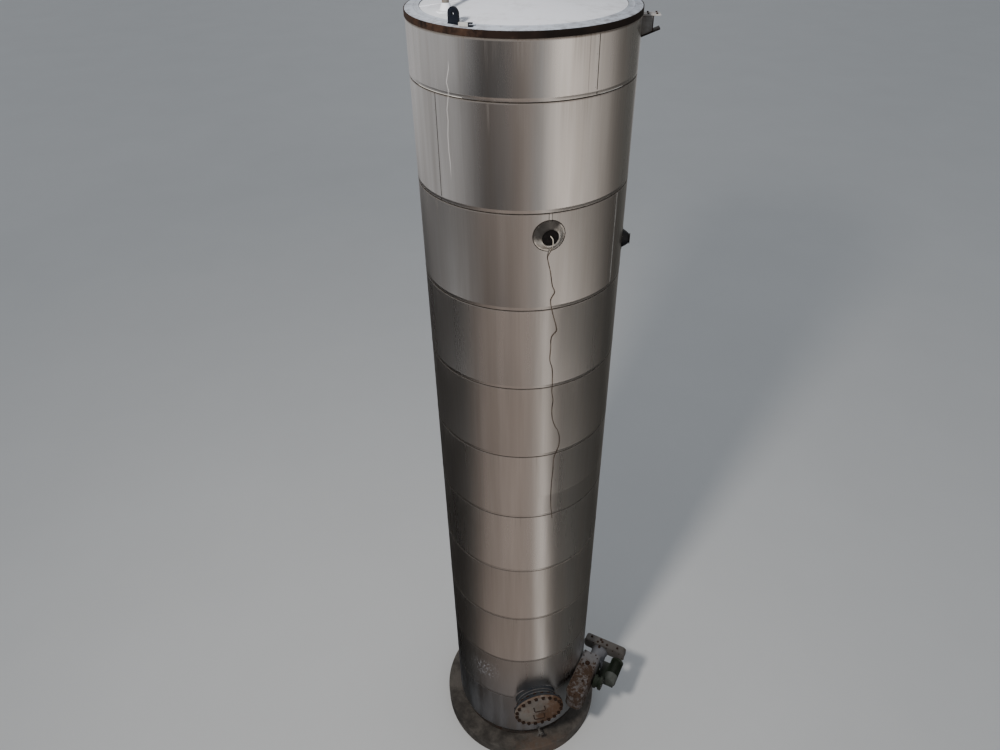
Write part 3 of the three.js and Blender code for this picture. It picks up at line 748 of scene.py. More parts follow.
lamp_data = bpy.data.lights.new("soft_lamp", "AREA")
lamp_data.shape = "DISK"
lamp_data.size = LAMP_SIZE
lamp_data.energy = LAMP_POWER
lamp_data.color = LAMP_COLOUR
lamp = put("soft_lamp", lamp_data)
lamp.location = LAMP_PLACE
lamp.rotation_euler = (LAMP_PLACE - LAMP_TARGET).to_track_quat("Z", "Y").to_euler()
lamp.visible_glossy = False
print("lamp at", tuple(round(x, 2) for x in LAMP_PLACE))

# %% [markdown]
# Forms
#
# Most pieces here are turned on a lathe or cut from plate, so two makers cover them: a profile turned
# round an axis, and an outline drawn out to a thickness. A third one sweeps a round rod along a line.
# All give plain lists of points and faces, which can be moved by a matrix and added together before
# they become one mesh. A small bevel follows, because no real edge is perfectly sharp, and a bevel is
# what catches the light.

# %% A form
class Form:
    """Points and faces of one or more closed bodies."""

    def __init__(self, points, faces):
        self.points = [Vector(point) for point in points]
        self.faces = [tuple(face) for face in faces]

    def __add__(self, other):
        shift = len(self.points)
        faces = self.faces + [tuple(i + shift for i in face) for face in other.faces]
        return Form(self.points + other.points, faces)

    def placed(self, matrix):
        return Form([matrix @ point for point in self.points], self.faces)

    def moved(self, x=0.0, y=0.0, z=0.0):
        return self.placed(Matrix.Translation((x, y, z)))


NOTHING = Form([], [])
print("an empty form has", len(NOTHING.points), "points")

# %% Turned forms
COLUMNS = 144
TINY = 1e-6


def quarter(steps=(0, 0.25, 0.5, 0.75, 1)):
    """The sine and the cosine at steps through a quarter turn."""
    return [(math.sin(step * math.pi / 2), math.cos(step * math.pi / 2)) for step in steps]


def turned(profile, columns=COLUMNS):
    """A profile of (radius, height) points, closed on itself, turned round Z."""
    points, rows = [], []
    for radius, height in profile:
        count = columns if radius > TINY else 1
        rows.append([len(points) + i for i in range(count)])
        for i in range(count):
            turn = 2 * math.pi * i / columns
            points.append((radius * math.cos(turn), radius * math.sin(turn), height))
    faces = []
    for low, high in zip(rows, rows[1:] + rows[:1]):
        if len(low) == 1 and len(high) == 1:
            continue
        for i in range(columns):
            j = (i + 1) % columns
            corners = [low[i % len(low)], low[j % len(low)], high[j % len(high)], high[i % len(high)]]
            faces.append(tuple(dict.fromkeys(corners)))
    return Form(points, faces)


def disc(radius, bottom, top, columns=COLUMNS, round_edge=0.0):
    return turned([(0, bottom), *edge_of(radius, bottom, top, round_edge), (0, top)], columns)


def edge_of(radius, bottom, top, size):
    """The outer edge of a disc or ring, rounded at both corners."""
    if size <= 0:
        return [(radius, bottom), (radius, top)]
    low = [(radius - size + size * s, bottom + size - size * c) for s, c in quarter()]
    high = [(radius - size + size * c, top - size + size * s) for s, c in quarter()]
    return low + high


def tube(inner, outer, bottom, top, columns=COLUMNS, round_edge=0.0):
    return turned([(inner, bottom), *edge_of(outer, bottom, top, round_edge), (inner, top)], columns)


def weld_bead(radius, height, size, columns=COLUMNS):
    """A weld's fillet round a pipe that stands on a flat face. A negative size hangs it below one."""
    fillet = [(radius + size - size * s * 0.9, height + size * (1 - c) * 0.9)
              for s, c in quarter((0, 0.33, 0.67, 1))]
    half = size / 2
    return turned([(radius - half, height - half), (radius + size, height - half), *fillet,
                   (radius - half, height + size)], columns)


print("turned forms have", COLUMNS, "columns")

# %% Drawn, bevelled and swept forms
def skin(rows):
    """A closed body through rows of points, with a flat face at its first and last row."""
    points = [point for row in rows for point in row]
    count = len(rows[0])
    faces = []
    for low in range(0, len(points) - count, count):
        for i in range(count):
            j = (i + 1) % count
            faces.append((low + i, low + j, low + count + j, low + count + i))
    faces.append(tuple(reversed(range(count))))
    faces.append(tuple(range(len(points) - count, len(points))))
    return Form(points, faces)


def drawn(outline, bottom, top):
    """An outline of (x, y) points drawn out along Z."""
    return skin([[(x, y, z) for x, y in outline] for z in (bottom, top)])


def block(width, depth, height):
    x, y = width / 2, depth / 2
    return drawn([(-x, -y), (x, -y), (x, y), (-x, y)], -height / 2, height / 2)


def arc(x, y, radius, start, end, steps=8):
    turns = [math.radians(start + (end - start) * i / steps) for i in range(steps + 1)]
    return [(x + radius * math.cos(turn), y + radius * math.sin(turn)) for turn in turns]


def bevelled(form, width, steps=2, sharper_than=30):
    """Rounds every edge of a form that turns by more than an angle."""
    body = bmesh.new()
    corners = [body.verts.new(point) for point in form.points]
    for face in form.faces:
        body.faces.new([corners[i] for i in face])
    bmesh.ops.recalc_face_normals(body, faces=body.faces)
    limit = math.radians(sharper_than)
    edges = [edge for edge in body.edges if len(edge.link_faces) == 2 and edge.calc_face_angle() > limit]
    bmesh.ops.bevel(
        body, geom=edges, offset=width, segments=steps, profile=0.5, affect="EDGES", clamp_overlap=True)
    body.verts.index_update()
    result = Form([v.co for v in body.verts], [[v.index for v in face.verts] for face in body.faces])
    body.free()
    return result


def swept(line, radius, columns=12):
    """A round rod along a line of points, closed at both ends."""
    turns = [2 * math.pi * column / columns for column in range(columns)]
    normal = (line[1] - line[0]).normalized().orthogonal().normalized()
    rows = []
    for i, place in enumerate(line):
        ahead = (line[min(i + 1, len(line) - 1)] - line[max(i - 1, 0)]).normalized()
        normal = (normal - ahead * normal.dot(ahead)).normalized()
        across = ahead.cross(normal)
        rows.append([place + radius * (math.cos(turn) * normal + math.sin(turn) * across) for turn in turns])
    return skin(rows)


print("a block has", len(block(1, 1, 1).faces), "faces")

# %% From a form to a piece that rides on the tank
def mesh_of(name, form):
    mesh = bpy.data.meshes.new(name)
    mesh.from_pydata(form.points, [], form.faces)
    body = bmesh.new()
    body.from_mesh(mesh)
    bmesh.ops.recalc_face_normals(body, faces=body.faces)
    body.to_mesh(mesh)
    body.free()
    return mesh


def piece(name, form, paint, slot, *nodes, soft=38):
    """form is a Form or a finished mesh. Edges under the angle soft are shaded smooth."""
    mesh = mesh_of(name, form) if isinstance(form, Form) else form
    mesh.shade_smooth()
    mesh.set_sharp_from_angle(angle=math.radians(soft))
    if not mesh.materials:
        mesh.materials.append(paint)
    made = put(name, mesh)
    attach(made, "root")
    if nodes:
        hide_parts(*nodes)
    print(name, len(mesh.polygons), "faces")


print("pieces ride on the root and say what they stand for")

# %% [markdown]
# Rules that repeat
#
# Three things repeat all over the tank: sheets that are rolled round it, heads of rivets and screws
# along the laps, and rings of bolts. Each is a Geometry Nodes tree with named inputs for its sizes.
# The heads follow a path, so the same tree rivets a straight lap, a seam all the way round or the
# edge of a cover. Each tree ends in Realize Instances and Set Material, and the result is taken as a
# plain mesh.

# %% Geometry Nodes: start, end and use of a tree
SOCKETS = {"count": "NodeSocketInt", "size": "NodeSocketFloat", "paint": "NodeSocketMaterial"}


def new_rule(name, **inputs):
    """A tree with a geometry input, and one named input of a kind for each keyword."""
    tree = bpy.data.node_groups.new(name, "GeometryNodeTree")
    tree.interface.new_socket("Geometry", in_out="INPUT", socket_type="NodeSocketGeometry")
    tree.interface.new_socket("Geometry", in_out="OUTPUT", socket_type="NodeSocketGeometry")
    for key, kind in inputs.items():
        tree.interface.new_socket(key, in_out="INPUT", socket_type=SOCKETS[kind])
    graph = Graph(tree)
    entry = tree.nodes.new("NodeGroupInput")
    given = {socket.name: Wire(graph, socket) for socket in entry.outputs if socket.name}
    return tree, graph, given


def xyz(graph, x=0.0, y=0.0, z=0.0):
    return graph.node("ShaderNodeCombineXYZ", {}, {0: x, 1: y, 2: z})


def end_rule(graph, geometry, paint):
    """Every rule ends with real geometry, in one material."""
    real = graph.node("GeometryNodeRealizeInstances", {}, {0: geometry})
    painted = graph.node("GeometryNodeSetMaterial", {}, {"Geometry": real, "Material": paint})
    graph.node("NodeGroupOutput", {}, {0: painted})


def grown(name, tree, values, points=((0, 0, 0),), edges=()):
    """Runs a tree on a mesh of points and edges, and gives the result as a plain mesh."""
    start = bpy.data.meshes.new(name + "_path")
    start.from_pydata([tuple(point) for point in points], list(edges), [])
    holder = put(name + "_holder", start)
    modifier = holder.modifiers.new(tree.name, "NODES")
    modifier.node_group = tree
    for item in tree.interface.items_tree:
        if item.in_out == "INPUT" and item.name in values:
            modifier[item.identifier] = values[item.name]
    evaluated = holder.evaluated_get(bpy.context.evaluated_depsgraph_get())
    mesh = bpy.data.meshes.new_from_object(evaluated)
    mesh.name = name
    mesh.materials.clear()
    mesh.materials.append(values["Paint"])
    holder.modifiers.remove(modifier)
    bpy.data.objects.remove(holder)
    return mesh


def loop_edges(count, closed=True):
    return [(i, (i + 1) % count) for i in range(count if closed else count - 1)]


print("kinds of input", ", ".join(SOCKETS))

# %% [markdown]
# A rolled sheet
#
# A real course is one long sheet that is rolled round the tank until its end lies over its start. A
# spiral that rises by a little more than the sheet's thickness does exactly that, so the upright lap
# appears by itself, with a true edge. The spiral carries the sheet's cross-section: the joggled top
# that tucks under the sheet above, the flat, the swaged bead and the lower edge.

# %% Geometry Nodes: a sheet rolled round the tank
def rolled_sheet_rule():
    tree, graph, given = new_rule(
        "rolled_sheet", Radius="size", Turns="size", Rise="size", Columns="count", Turned="size",
        Paint="paint")
    spiral = graph.node("GeometryNodeCurveSpiral", {}, {
        "Resolution": given["Columns"], "Rotations": given["Turns"], "Start Radius": given["Radius"],
        "End Radius": given["Radius"] + given["Rise"], "Height": 0.0})
    upright = graph.node("GeometryNodeSetCurveNormal", {"mode": "Z_UP"}, {0: spiral})
    section = graph.node("GeometryNodeMeshToCurve", {}, {0: given["Geometry"]})
    sheet = graph.node("GeometryNodeCurveToMesh", {}, {0: upright, 1: section, "Fill Caps": True})
    turn = xyz(graph, z=given["Turned"])
    placed = graph.node("GeometryNodeTransform", {}, {"Geometry": sheet, "Rotation": turn})
    end_rule(graph, placed, given["Paint"])
    return tree


ROLLED_SHEET = rolled_sheet_rule()
SHEET_THICK = 1 * MM
SHEET_COLUMNS = 220
LAP = 2.4
LAP_RISE = 1.35 * MM
TUCK = 30 * MM
JOGGLE = 2.6 * MM
GROOVE = 7 * MM
BEAD = 1.6 * MM


def sheet_section(low, high, tucked):
    """The outer line of a course from its top to its lower edge, as (radius, height)."""
    outer = [
        (CLAD_RADIUS - JOGGLE, high + (TUCK if tucked else 0)),
        (CLAD_RADIUS - JOGGLE, high - GROOVE),
        (CLAD_RADIUS, high - GROOVE - 3 * MM),
        (CLAD_RADIUS, low + 40 * MM),
        (CLAD_RADIUS + BEAD * 0.7, low + 36 * MM),
        (CLAD_RADIUS + BEAD, low + 30 * MM),
        (CLAD_RADIUS + BEAD * 0.7, low + 24 * MM),
        (CLAD_RADIUS, low + 20 * MM),
        (CLAD_RADIUS, low),
    ]
    inner = [(radius - SHEET_THICK, height) for radius, height in reversed(outer)]
    return outer + inner


def rolled(name, section, lap_azimuth):
    """The spiral's section is drawn inwards and downwards from its line."""
    points = [(CLAD_RADIUS - radius, -height, 0) for radius, height in section]
    values = {
        "Radius": CLAD_RADIUS, "Turns": 1 + LAP / 360, "Rise": LAP_RISE, "Columns": SHEET_COLUMNS,
        "Turned": math.radians(lap_azimuth - 90 - LAP), "Paint": CLADDING}
    return grown(name, ROLLED_SHEET, values, points, loop_edges(len(points)))


# The azimuth of each course's upright lap, from the roof down. The unseen ones are staggered behind.
LAP_AZIMUTHS = [33.5, -48, 56.5, 163, 128, 201, 149, 224, 170, 131, 196]
TONES = [0.35, 0.5, 0.62, 0.4, 0.7, 0.45, 0.3, 0.66, 0.52, 0.38, 0.74]
NO_SEAM = 99


def with_attributes(mesh, tone, top):
    """The sheet's own shade, and how far each point lies below the sheet's top. NO_SEAM is a top so
    high that no runs come down from it."""
    shade = mesh.attributes.new("tone", "FLOAT", "POINT")
    drop = mesh.attributes.new("drop", "FLOAT", "POINT")
    for i, vertex in enumerate(mesh.vertices):
        shade.data[i].value = tone
        drop.data[i].value = max(0.0, top - vertex.co.z)
    return mesh


for number, (node, lap, tone) in enumerate(zip(COURSES, LAP_AZIMUTHS, TONES), 1):
    low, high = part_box(node)
    section = sheet_section(low.z, high.z, number > 1)
    sheet = with_attributes(rolled(f"sheet_{number:02d}", section, lap), tone, high.z)
    piece(f"cladding_sheet_{number:02d}", sheet, CLADDING, "cladding", node, soft=20)

# %% [markdown]
# Heads along a path and bolts in a ring
#
# A rivet, a screw and a hexagon head are the same form at this size: a short cone with few sides.
# What differs is the path that they follow and the way that they face. The path comes in as edges,
# is divided by a spacing, and every head is turned to face away from the tank's axis, upwards, or
# along a given direction. A bolt ring starts from a circle instead, and stacks a washer, a head and
# the end of its stud. Few sides are enough, because there are hundreds of them.

# %% Geometry Nodes: heads along a path
def facing(graph, direction, seed):
    """A rotation whose Z looks along a direction, with a random turn about it. The sockets of a
    Random Value node for single numbers are found by identifier."""
    aligned = graph.node("FunctionNodeAlignRotationToVector", {"axis": "Z"}, {"Vector": direction})
    chance = graph.tree.nodes.new("FunctionNodeRandomValue")
    chance.data_type = "FLOAT"
    values = {socket.identifier: socket for socket in chance.inputs}
    values["Max_001"].default_value = math.pi
    values["Seed"].default_value = seed
    turn = next(socket for socket in chance.outputs if socket.identifier == "Value_001")
    spin = graph.node("FunctionNodeEulerToRotation", {}, {0: xyz(graph, z=Wire(graph, turn))})
    return graph.node("FunctionNodeRotateRotation", {"rotation_space": "LOCAL"}, {0: aligned, 1: spin})


def at_points(graph, points, shape, rotation):
    sockets = {"Points": points, "Instance": shape, "Rotation": rotation}
    return graph.node("GeometryNodeInstanceOnPoints", {}, sockets)


def heads_rule():
    tree, graph, given = new_rule(
        "heads_along_a_path", Spacing="size", Foot="size", Crown="size", Height="size", Sides="count",
        Outwards="size", East="size", North="size", Upwards="size", Paint="paint")
    path = graph.node("GeometryNodeMeshToCurve", {}, {0: given["Geometry"]})
    stops = graph.node(
        "GeometryNodeResampleCurve", {"mode": "LENGTH"}, {"Curve": path, "Length": given["Spacing"]})
    head = graph.node("GeometryNodeMeshCone", {"fill_type": "NGON"}, {
        "Vertices": given["Sides"], "Radius Top": given["Crown"], "Radius Bottom": given["Foot"],
        "Depth": given["Height"]})
    place = graph.node("GeometryNodeInputPosition")
    flat = graph.vector("MULTIPLY", place, (1, 1, 0))
    radial = graph.node(
        "ShaderNodeVectorMath", {"operation": "SCALE"}, {0: flat, "Scale": given["Outwards"]})
    fixed = xyz(graph, given["East"], given["North"], given["Upwards"])
    direction = graph.vector("ADD", radial, fixed)
    end_rule(graph, at_points(graph, stops, head, facing(graph, direction, 7)), given["Paint"])
    return tree


HEADS = heads_rule()
print("rule", HEADS.name)

# %% Geometry Nodes: a ring of bolts
def bolt_ring_rule():
    tree, graph, given = new_rule(
        "bolt_ring", Count="count", Radius="size", Phase="size", Across="size", Height="size",
        Washer="size", Stud="size", Paint="paint")
    circle = graph.node(
        "GeometryNodeMeshCircle", {}, {"Vertices": given["Count"], "Radius": given["Radius"]})
    washer_height = 0.12
    parts = [(16, given["Washer"], given["Height"] * washer_height, 0.0),
             (6, given["Across"] * (1 / math.sqrt(3)), given["Height"], given["Height"] * washer_height),
             (10, given["Across"] * 0.3, given["Stud"], given["Height"])]
    join = graph.tree.nodes.new("GeometryNodeJoinGeometry")
    for sides, radius, depth, lift in parts:
        sizes = {"Vertices": sides, "Radius": radius, "Depth": depth}
        body = graph.node("GeometryNodeMeshCylinder", {}, sizes)
        shift = xyz(graph, z=depth * 0.5 + lift)
        part = graph.node("GeometryNodeTransform", {}, {"Geometry": body, "Translation": shift})
        graph.tree.links.new(part.socket, join.inputs[0])
    bolt = Wire(graph, join.outputs[0])
    placed = at_points(graph, circle, bolt, facing(graph, (0, 0, 1), 3))
    turn = xyz(graph, z=given["Phase"])
    ring = graph.node("GeometryNodeTransform", {}, {"Geometry": placed, "Rotation": turn})
    end_rule(graph, ring, given["Paint"])
    return tree


BOLT_RING = bolt_ring_rule()
print("rule", BOLT_RING.name)

# %% Pieces of heads and of bolts
RIVET = (3.4, 1.8, 1.8)
UP = (0.0, 0.0, 1.0)


def fixings(name, paths, paint, slot, spacing, size=RIVET, sides=8, towards=None):
    """One piece of heads along paths. A path is a list of points, closed if its ends meet, and size
    holds a head's foot, crown and height in millimetres. Heads face away from the tank's axis, or
    towards a direction."""
    points, edges = [], []
    for path in paths:
        closed = (path[0] - path[-1]).length < TINY
        stops = path[:-1] if closed else path
        edges += [(a + len(points), b + len(points)) for a, b in loop_edges(len(stops), closed)]
        points += stops
    east, north, upwards = towards or (0.0, 0.0, 0.0)
    foot, crown, height = (value * MM for value in size)
    values = {
        "Spacing": spacing, "Foot": foot, "Crown": crown, "Height": height, "Sides": sides,
        "Outwards": 0.0 if towards else 1.0, "East": east, "North": north, "Upwards": upwards,
        "Paint": paint}
    piece(name, grown(name, HEADS, values, points, edges), paint, slot)


def bolts(name, places, paint, slot, count, radius, across, phase=0.0, stud=4 * MM):
    """One piece of bolt rings, with a ring at each place."""
    values = {
        "Count": count, "Radius": radius, "Phase": math.radians(phase), "Across": across,
        "Height": across * 0.5, "Washer": across * 0.62, "Stud": stud, "Paint": paint}
    body = bmesh.new()
    for place in places:
        ring = grown(name, BOLT_RING, values)
        ring.transform(place)
        body.from_mesh(ring)
    mesh = bpy.data.meshes.new(name)
    body.to_mesh(mesh)
    body.free()
    piece(name, mesh, paint, slot)


def side_arc(start, end, height, radius, step=2.0):
    count = max(2, round(abs(end - start) / step))
    return [side_point(start + (end - start) * i / count, height, radius) for i in range(count + 1)]


print("rules", len(bpy.data.node_groups))

# %% [markdown]
# Laps, rivets and mastic
#
# A dark line shows at every seam. It is a bead of mastic, pressed out where two sheets lap, with a
# soft shadow under the lower edge that is painted into the sheets. It could be a painted line, but a
# real bead in the groove keeps its thickness from every side. The lower seams were filled more
# thinly. Blind rivets hold the upright laps, and screws the level ones.

# %% Mastic and fasteners of the cladding
course_boxes = [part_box(node) for node in COURSES]
seams = [low.z for low, high in course_boxes[:-1]]
SEAM_BEAD = 11 * MM
WIDE_SEAMS = 6
mastic = NOTHING
for i, height in enumerate(seams):
    foot = height - (SEAM_BEAD if i < WIDE_SEAMS else SEAM_BEAD / 2)
    mastic += tube(CLAD_RADIUS - 3 * MM, CLAD_RADIUS + 0.8 * MM, foot, height - 0.4 * MM, 180, 1.5 * MM)
piece("seam_mastic", mastic, MASTIC, "dark_trim")

RIVET_IN = 0.75
RIVET_PITCH = 0.11
SCREW_PITCH = 0.27
lap_paths, screw_paths = [], []
for (low, high), lap in zip(course_boxes, LAP_AZIMUTHS):
    ends = (low.z + 60 * MM, high.z - 30 * MM)
    lap_paths.append([side_point(lap - RIVET_IN, z, CLAD_RADIUS + LAP_RISE) for z in ends])
    screw_paths.append(side_arc(lap + 2, lap + 358, low.z + 10 * MM, CLAD_RADIUS + 0.3 * MM))
fixings("lap_rivets", lap_paths, BRIGHT_BOLT, "cladding", RIVET_PITCH)
fixings("seam_screws", screw_paths, BRIGHT_BOLT, "cladding", SCREW_PITCH, sides=6)

# %% [markdown]
# Beads, painted glints and strips on the sheets
#
# Each upright lap has its own bead of mastic. On one lap and along parts of the first seam a pale
# strip lies on the sheet's edge instead: a painted glint, where the edge catches the light. Where a
# sheet was cut to pass a stub, the cut above it is closed by a narrow strip with a bead on either
# side, and on the right one course was mended with a second sheet laid over it. All are thin plates
# bent to the tank, with a true edge that a light from the side picks out.

# %% Beads and painted glints
def bent_plate(start, end, low, high, lift, thick, step=1.0):
    """A thin plate on the side of the tank, between two azimuths and two heights."""
    count = max(2, round((end - start) / step))
    section = ((lift, low), (lift + thick, low), (lift + thick, high), (lift, high))
    return skin([
        [side_point(start + (end - start) * i / count, height, CLAD_RADIUS + out) for out, height in section]
        for i in range(count + 1)])


LAP_BEAD = 0.42
GLINT_LAP = 2
GLINT_SEAMS = ((-62, -31), (36, 52))
EDGE_LIFT = LAP_RISE - 0.6 * MM
EDGE_THICK = 1.4 * MM
# A pale paint on thin strips at the sheets' edges: painted glints where the edges catch the light.
GLINT_PAINT = weathered_paint("glint_strip_paint", (0.62, 0.6, 0.56), (0.4, 0.38, 0.35), RUST, 0.1, 20, 0.45)
lap_mastic = NOTHING
glint_strips = NOTHING
for number, ((low, high), lap) in enumerate(zip(course_boxes, LAP_AZIMUTHS)):
    if number == GLINT_LAP:
        ends = (lap - 0.35, lap + 0.2, low.z + 14 * MM, high.z - 14 * MM)
        glint_strips += bent_plate(*ends, EDGE_LIFT, EDGE_THICK, 0.1)
    else:
        ends = (lap + 0.02, lap + LAP_BEAD, low.z + 2 * MM, high.z - SEAM_BEAD)
        lap_mastic += bent_plate(*ends, -0.4 * MM, 2.2 * MM, 0.2)
for start, end in GLINT_SEAMS:
    glint_strips += bent_plate(start, end, seams[0] - 0.5 * MM, seams[0] + 5 * MM, EDGE_LIFT, EDGE_THICK)
piece("lap_mastic", lap_mastic, MASTIC, "dark_trim")
piece("painted_glint_strips", glint_strips, GLINT_PAINT, "cladding")

# %% The strip above the stub and the mended course
STRIP_AZIMUTHS = (11.1, 12.7)
STRIP_FOOT = 9.352
MEND_AZIMUTHS = (8, 118)
MEND_TOP = 5.87
MEND_FOOT = seams[5] + 45 * MM


def sheet_piece(name, form, tone, top, *nodes, paint=CLADDING, soft=38):
    """A piece of sheet that wears like the courses."""
    piece(name, with_attributes(mesh_of(name, form), tone, top), paint, "cladding", *nodes, soft=soft)


strip = bent_plate(*STRIP_AZIMUTHS, STRIP_FOOT, seams[1] - 9 * MM, 0.3 * MM, 1.2 * MM, 0.4)
sheet_piece("stub_cut_strip", strip, 0.2, seams[1])
cut_beads = NOTHING
for azimuth in STRIP_AZIMUTHS:
    ends = (azimuth - 0.12, azimuth + 0.12, STRIP_FOOT, seams[1] - SEAM_BEAD)
    cut_beads += bent_plate(*ends, 0.2 * MM, 2 * MM, 0.1)
piece("stub_cut_mastic", cut_beads, MASTIC, "dark_trim")
mend = bent_plate(*MEND_AZIMUTHS, MEND_FOOT, MEND_TOP, 0.2 * MM, 1.0 * MM)
sheet_piece("mended_course", mend, TONES[5], MEND_TOP + 0.2)

# %% [markdown]
# Foot of the tank
#
# The plinth is one casting. It is turned from a profile with a worn, rounded edge, and then each
# point is moved a millimetre or two by a noise, so that its outline isn't a perfect circle. Above it
# stand the bottom plate with its weld and the bare foot of the shell, under the cladding.

# %% Plinth, bottom plate and shell
def uneven(form, amount, scale):
    """Moves each point in or out from the axis by a smooth noise."""
    points = []
    for point in form.points:
        away = Vector((point.x, point.y, 0))
        shift = noise.noise(point * scale) * amount
        points.append(point + away.normalized() * shift if away.length > TINY else point)
    return Form(points, form.faces)


PLINTH_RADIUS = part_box("plinth")[1].x
PLINTH_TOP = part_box("plinth")[1].z
PLINTH_EDGE = 20 * MM
BASE_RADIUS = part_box("bottom_plate")[1].x
BASE_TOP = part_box("bottom_plate")[1].z
SHELL_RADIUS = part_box("steel_shell")[1].x

# The rings on the side and on the top give the noise more points to move.
side_rings = [(PLINTH_RADIUS, 4 * MM), (PLINTH_RADIUS, 0.07), (PLINTH_RADIUS, 0.14)]
top_edge = edge_of(PLINTH_RADIUS, 0.14, PLINTH_TOP, PLINTH_EDGE)[5:]
top_rings = [(radius, PLINTH_TOP) for radius in (1.16, 1.08, 1.0, 0)]
cast = turned([(0, 0), (PLINTH_RADIUS - 4 * MM, 0), *side_rings, *top_edge, *top_rings], 192)
piece("cast_plinth", uneven(cast, 3 * MM, 3.1), CONCRETE, "concrete", "plinth")
base = disc(BASE_RADIUS, PLINTH_TOP + 0.3 * MM, BASE_TOP, COLUMNS, 2 * MM)
base += weld_bead(SHELL_RADIUS, BASE_TOP, 9 * MM)
piece("bottom_plate_and_weld", base, BASE_DARK, "painted_steel", "bottom_plate")
wall = tube(SHELL_RADIUS - 6 * MM, SHELL_RADIUS, BASE_TOP + 0.3 * MM, CLAD_TOP)
piece("shell_wall", wall, BASE_DARK, "painted_steel", "steel_shell")
foot_low, foot_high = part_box("cladding_foot_ring")
foot_ring = tube(SHELL_RADIUS + 1 * MM, CLAD_RADIUS - 2 * MM, foot_low.z, foot_high.z, COLUMNS, 1 * MM)
piece("foot_closing_ring", foot_ring, CURB_DARK_SUNLIT_LEFT, "dark_trim", "cladding_foot_ring")

# %% [markdown]
# Roof and curb
#
# The roof is a low cone of sheet in two halves, which lap across the middle, level with the sides. A
# flashing with a raised crease runs round its edge, and a dark flat bar stands round it as a curb.
# The cone gets a few millimetres of unevenness, since thin sheet never lies flat, and that is what
# breaks up its sheen.

# %% Roof, flashing and rim
RIM_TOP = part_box("rim_band")[1].z
RIM_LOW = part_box("rim_band")[0].z
RIM_MIDDLE = (RIM_LOW + RIM_TOP) / 2
RIM_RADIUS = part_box("rim_band")[1].x
ROOF_EDGE = RIM_TOP - 4 * MM
ROOF_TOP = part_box("roof_plate")[1].z
ROOF_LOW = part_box("roof_plate")[0].z
ROOF_RADIUS = CLAD_RADIUS - 0.5 * MM
ROOF_RINGS = 16
FLASHING_WIDE = 125 * MM


def roof_height(radius):
    return ROOF_EDGE + (ROOF_TOP - ROOF_EDGE) * (1 - radius / CLAD_RADIUS)


def buckled(form, amount, scale, above):
    """Lifts and lowers the upper points by a smooth noise, least at the edge."""
    points = []
    for point in form.points:
        inside = max(0.0, 1 - math.hypot(point.x, point.y) / 0.9)
        shift = noise.noise(point * scale) * amount * min(1, 3 * inside) if point.z > above else 0
        points.append(point + Vector((0, 0, shift)))
    return Form(points, form.faces)


rings = [i / ROOF_RINGS * ROOF_RADIUS for i in range(ROOF_RINGS - 1, 0, -1)]
roof = turned([(0, ROOF_LOW), (ROOF_RADIUS, ROOF_LOW), (ROOF_RADIUS, ROOF_EDGE),
               *[(r, roof_height(r)) for r in rings], (0, ROOF_TOP)])
piece("roof_sheet", buckled(roof, 4 * MM, 2.7, ROOF_EDGE + 5 * MM), ROOF_SHEET, "roof_sheet", "roof_plate")

# The flashing's section: millimetres outwards from its inner edge, and above the roof.
FLASHING_SECTION = [(0, 0.4), (0, 5.6), (5, 5.9), (9, 3.9), (44, 3.4), (49, 5.6), (56, 5.6), (61, 3.2),
                    (124, 3.2), (124, 0.4)]
flash_inner = CLAD_RADIUS - FLASHING_WIDE
flash_height = roof_height(flash_inner)
flashing = turned([(flash_inner + run * MM, roof_height(flash_inner + run * MM) + lift * MM)
                   for run, lift in FLASHING_SECTION])
piece("edge_flashing", flashing, FLASHING, "roof_sheet", "roof_edge_flashing", soft=25)
# A dark mastic ring along the flashing's inner edge: painted shade in the fold of the sheet there.
fold_shade_ring = tube(flash_inner - 4 * MM, flash_inner, flash_height - 1 * MM, flash_height + 3 * MM, 180)
piece("flashing_fold_shade", fold_shade_ring, MASTIC, "roof_sheet")
screw_circle = flash_inner + 26 * MM
screw_height = roof_height(screw_circle) + 3.5 * MM
fixings("flashing_screws", [side_arc(0, 360, screw_height, screw_circle)], BRIGHT_BOLT, "roof_sheet",
        spacing=0.21, size=(4, 3, 2.5), sides=6, towards=UP)

SPLICE_AZIMUTH = 164
rim = tube(CLAD_RADIUS, RIM_RADIUS, RIM_LOW, RIM_TOP, 192, 2.2 * MM)
splice_place = to_side(SPLICE_AZIMUTH, RIM_MIDDLE) @ Matrix.Translation((0, 0, RIM_RADIUS + 1.5 * MM))
splice = bevelled(block(0.15, 0.038, 5 * MM), 1.2 * MM).placed(splice_place)
piece("rim_curb", rim + splice, CURB_DARK_SUNLIT_LEFT, "dark_trim", "rim_band")
splice_line = [side_point(SPLICE_AZIMUTH + turn, RIM_MIDDLE, RIM_RADIUS + 3.8 * MM) for turn in (-3, 3)]
fixings("rim_splice_bolts", [splice_line], BOLT_RUST, "dark_trim", spacing=0.034, size=(8, 7, 7), sides=6)

# %% Lap of the roof's two halves
ROOF_LAP_AZIMUTH = 96
LAP_HALF = 14 * MM
LAP_STOPS = (-0.905, -0.45, 0, 0.45, 0.905)
across_lap = side_point(ROOF_LAP_AZIMUTH + 90, 0, LAP_HALF)
lap_line = [side_point(ROOF_LAP_AZIMUTH, roof_height(abs(reach)), reach) for reach in LAP_STOPS]
lap_section = ((-1, 0.5), (1, 0.5), (1, 4.0), (-1, 5.5))
roof_lap = skin([[stop + across_lap * side + Vector((0, 0, lift * MM)) for side, lift in lap_section]
                 for stop in lap_line])
piece("roof_lap", roof_lap, ROOF_SHEET, "roof_sheet")
rivet_line = [stop + Vector((0, 0, 4.6 * MM)) for stop in lap_line]
fixings("roof_lap_rivets", [rivet_line], BRIGHT_BOLT, "roof_sheet", spacing=0.09, towards=UP)

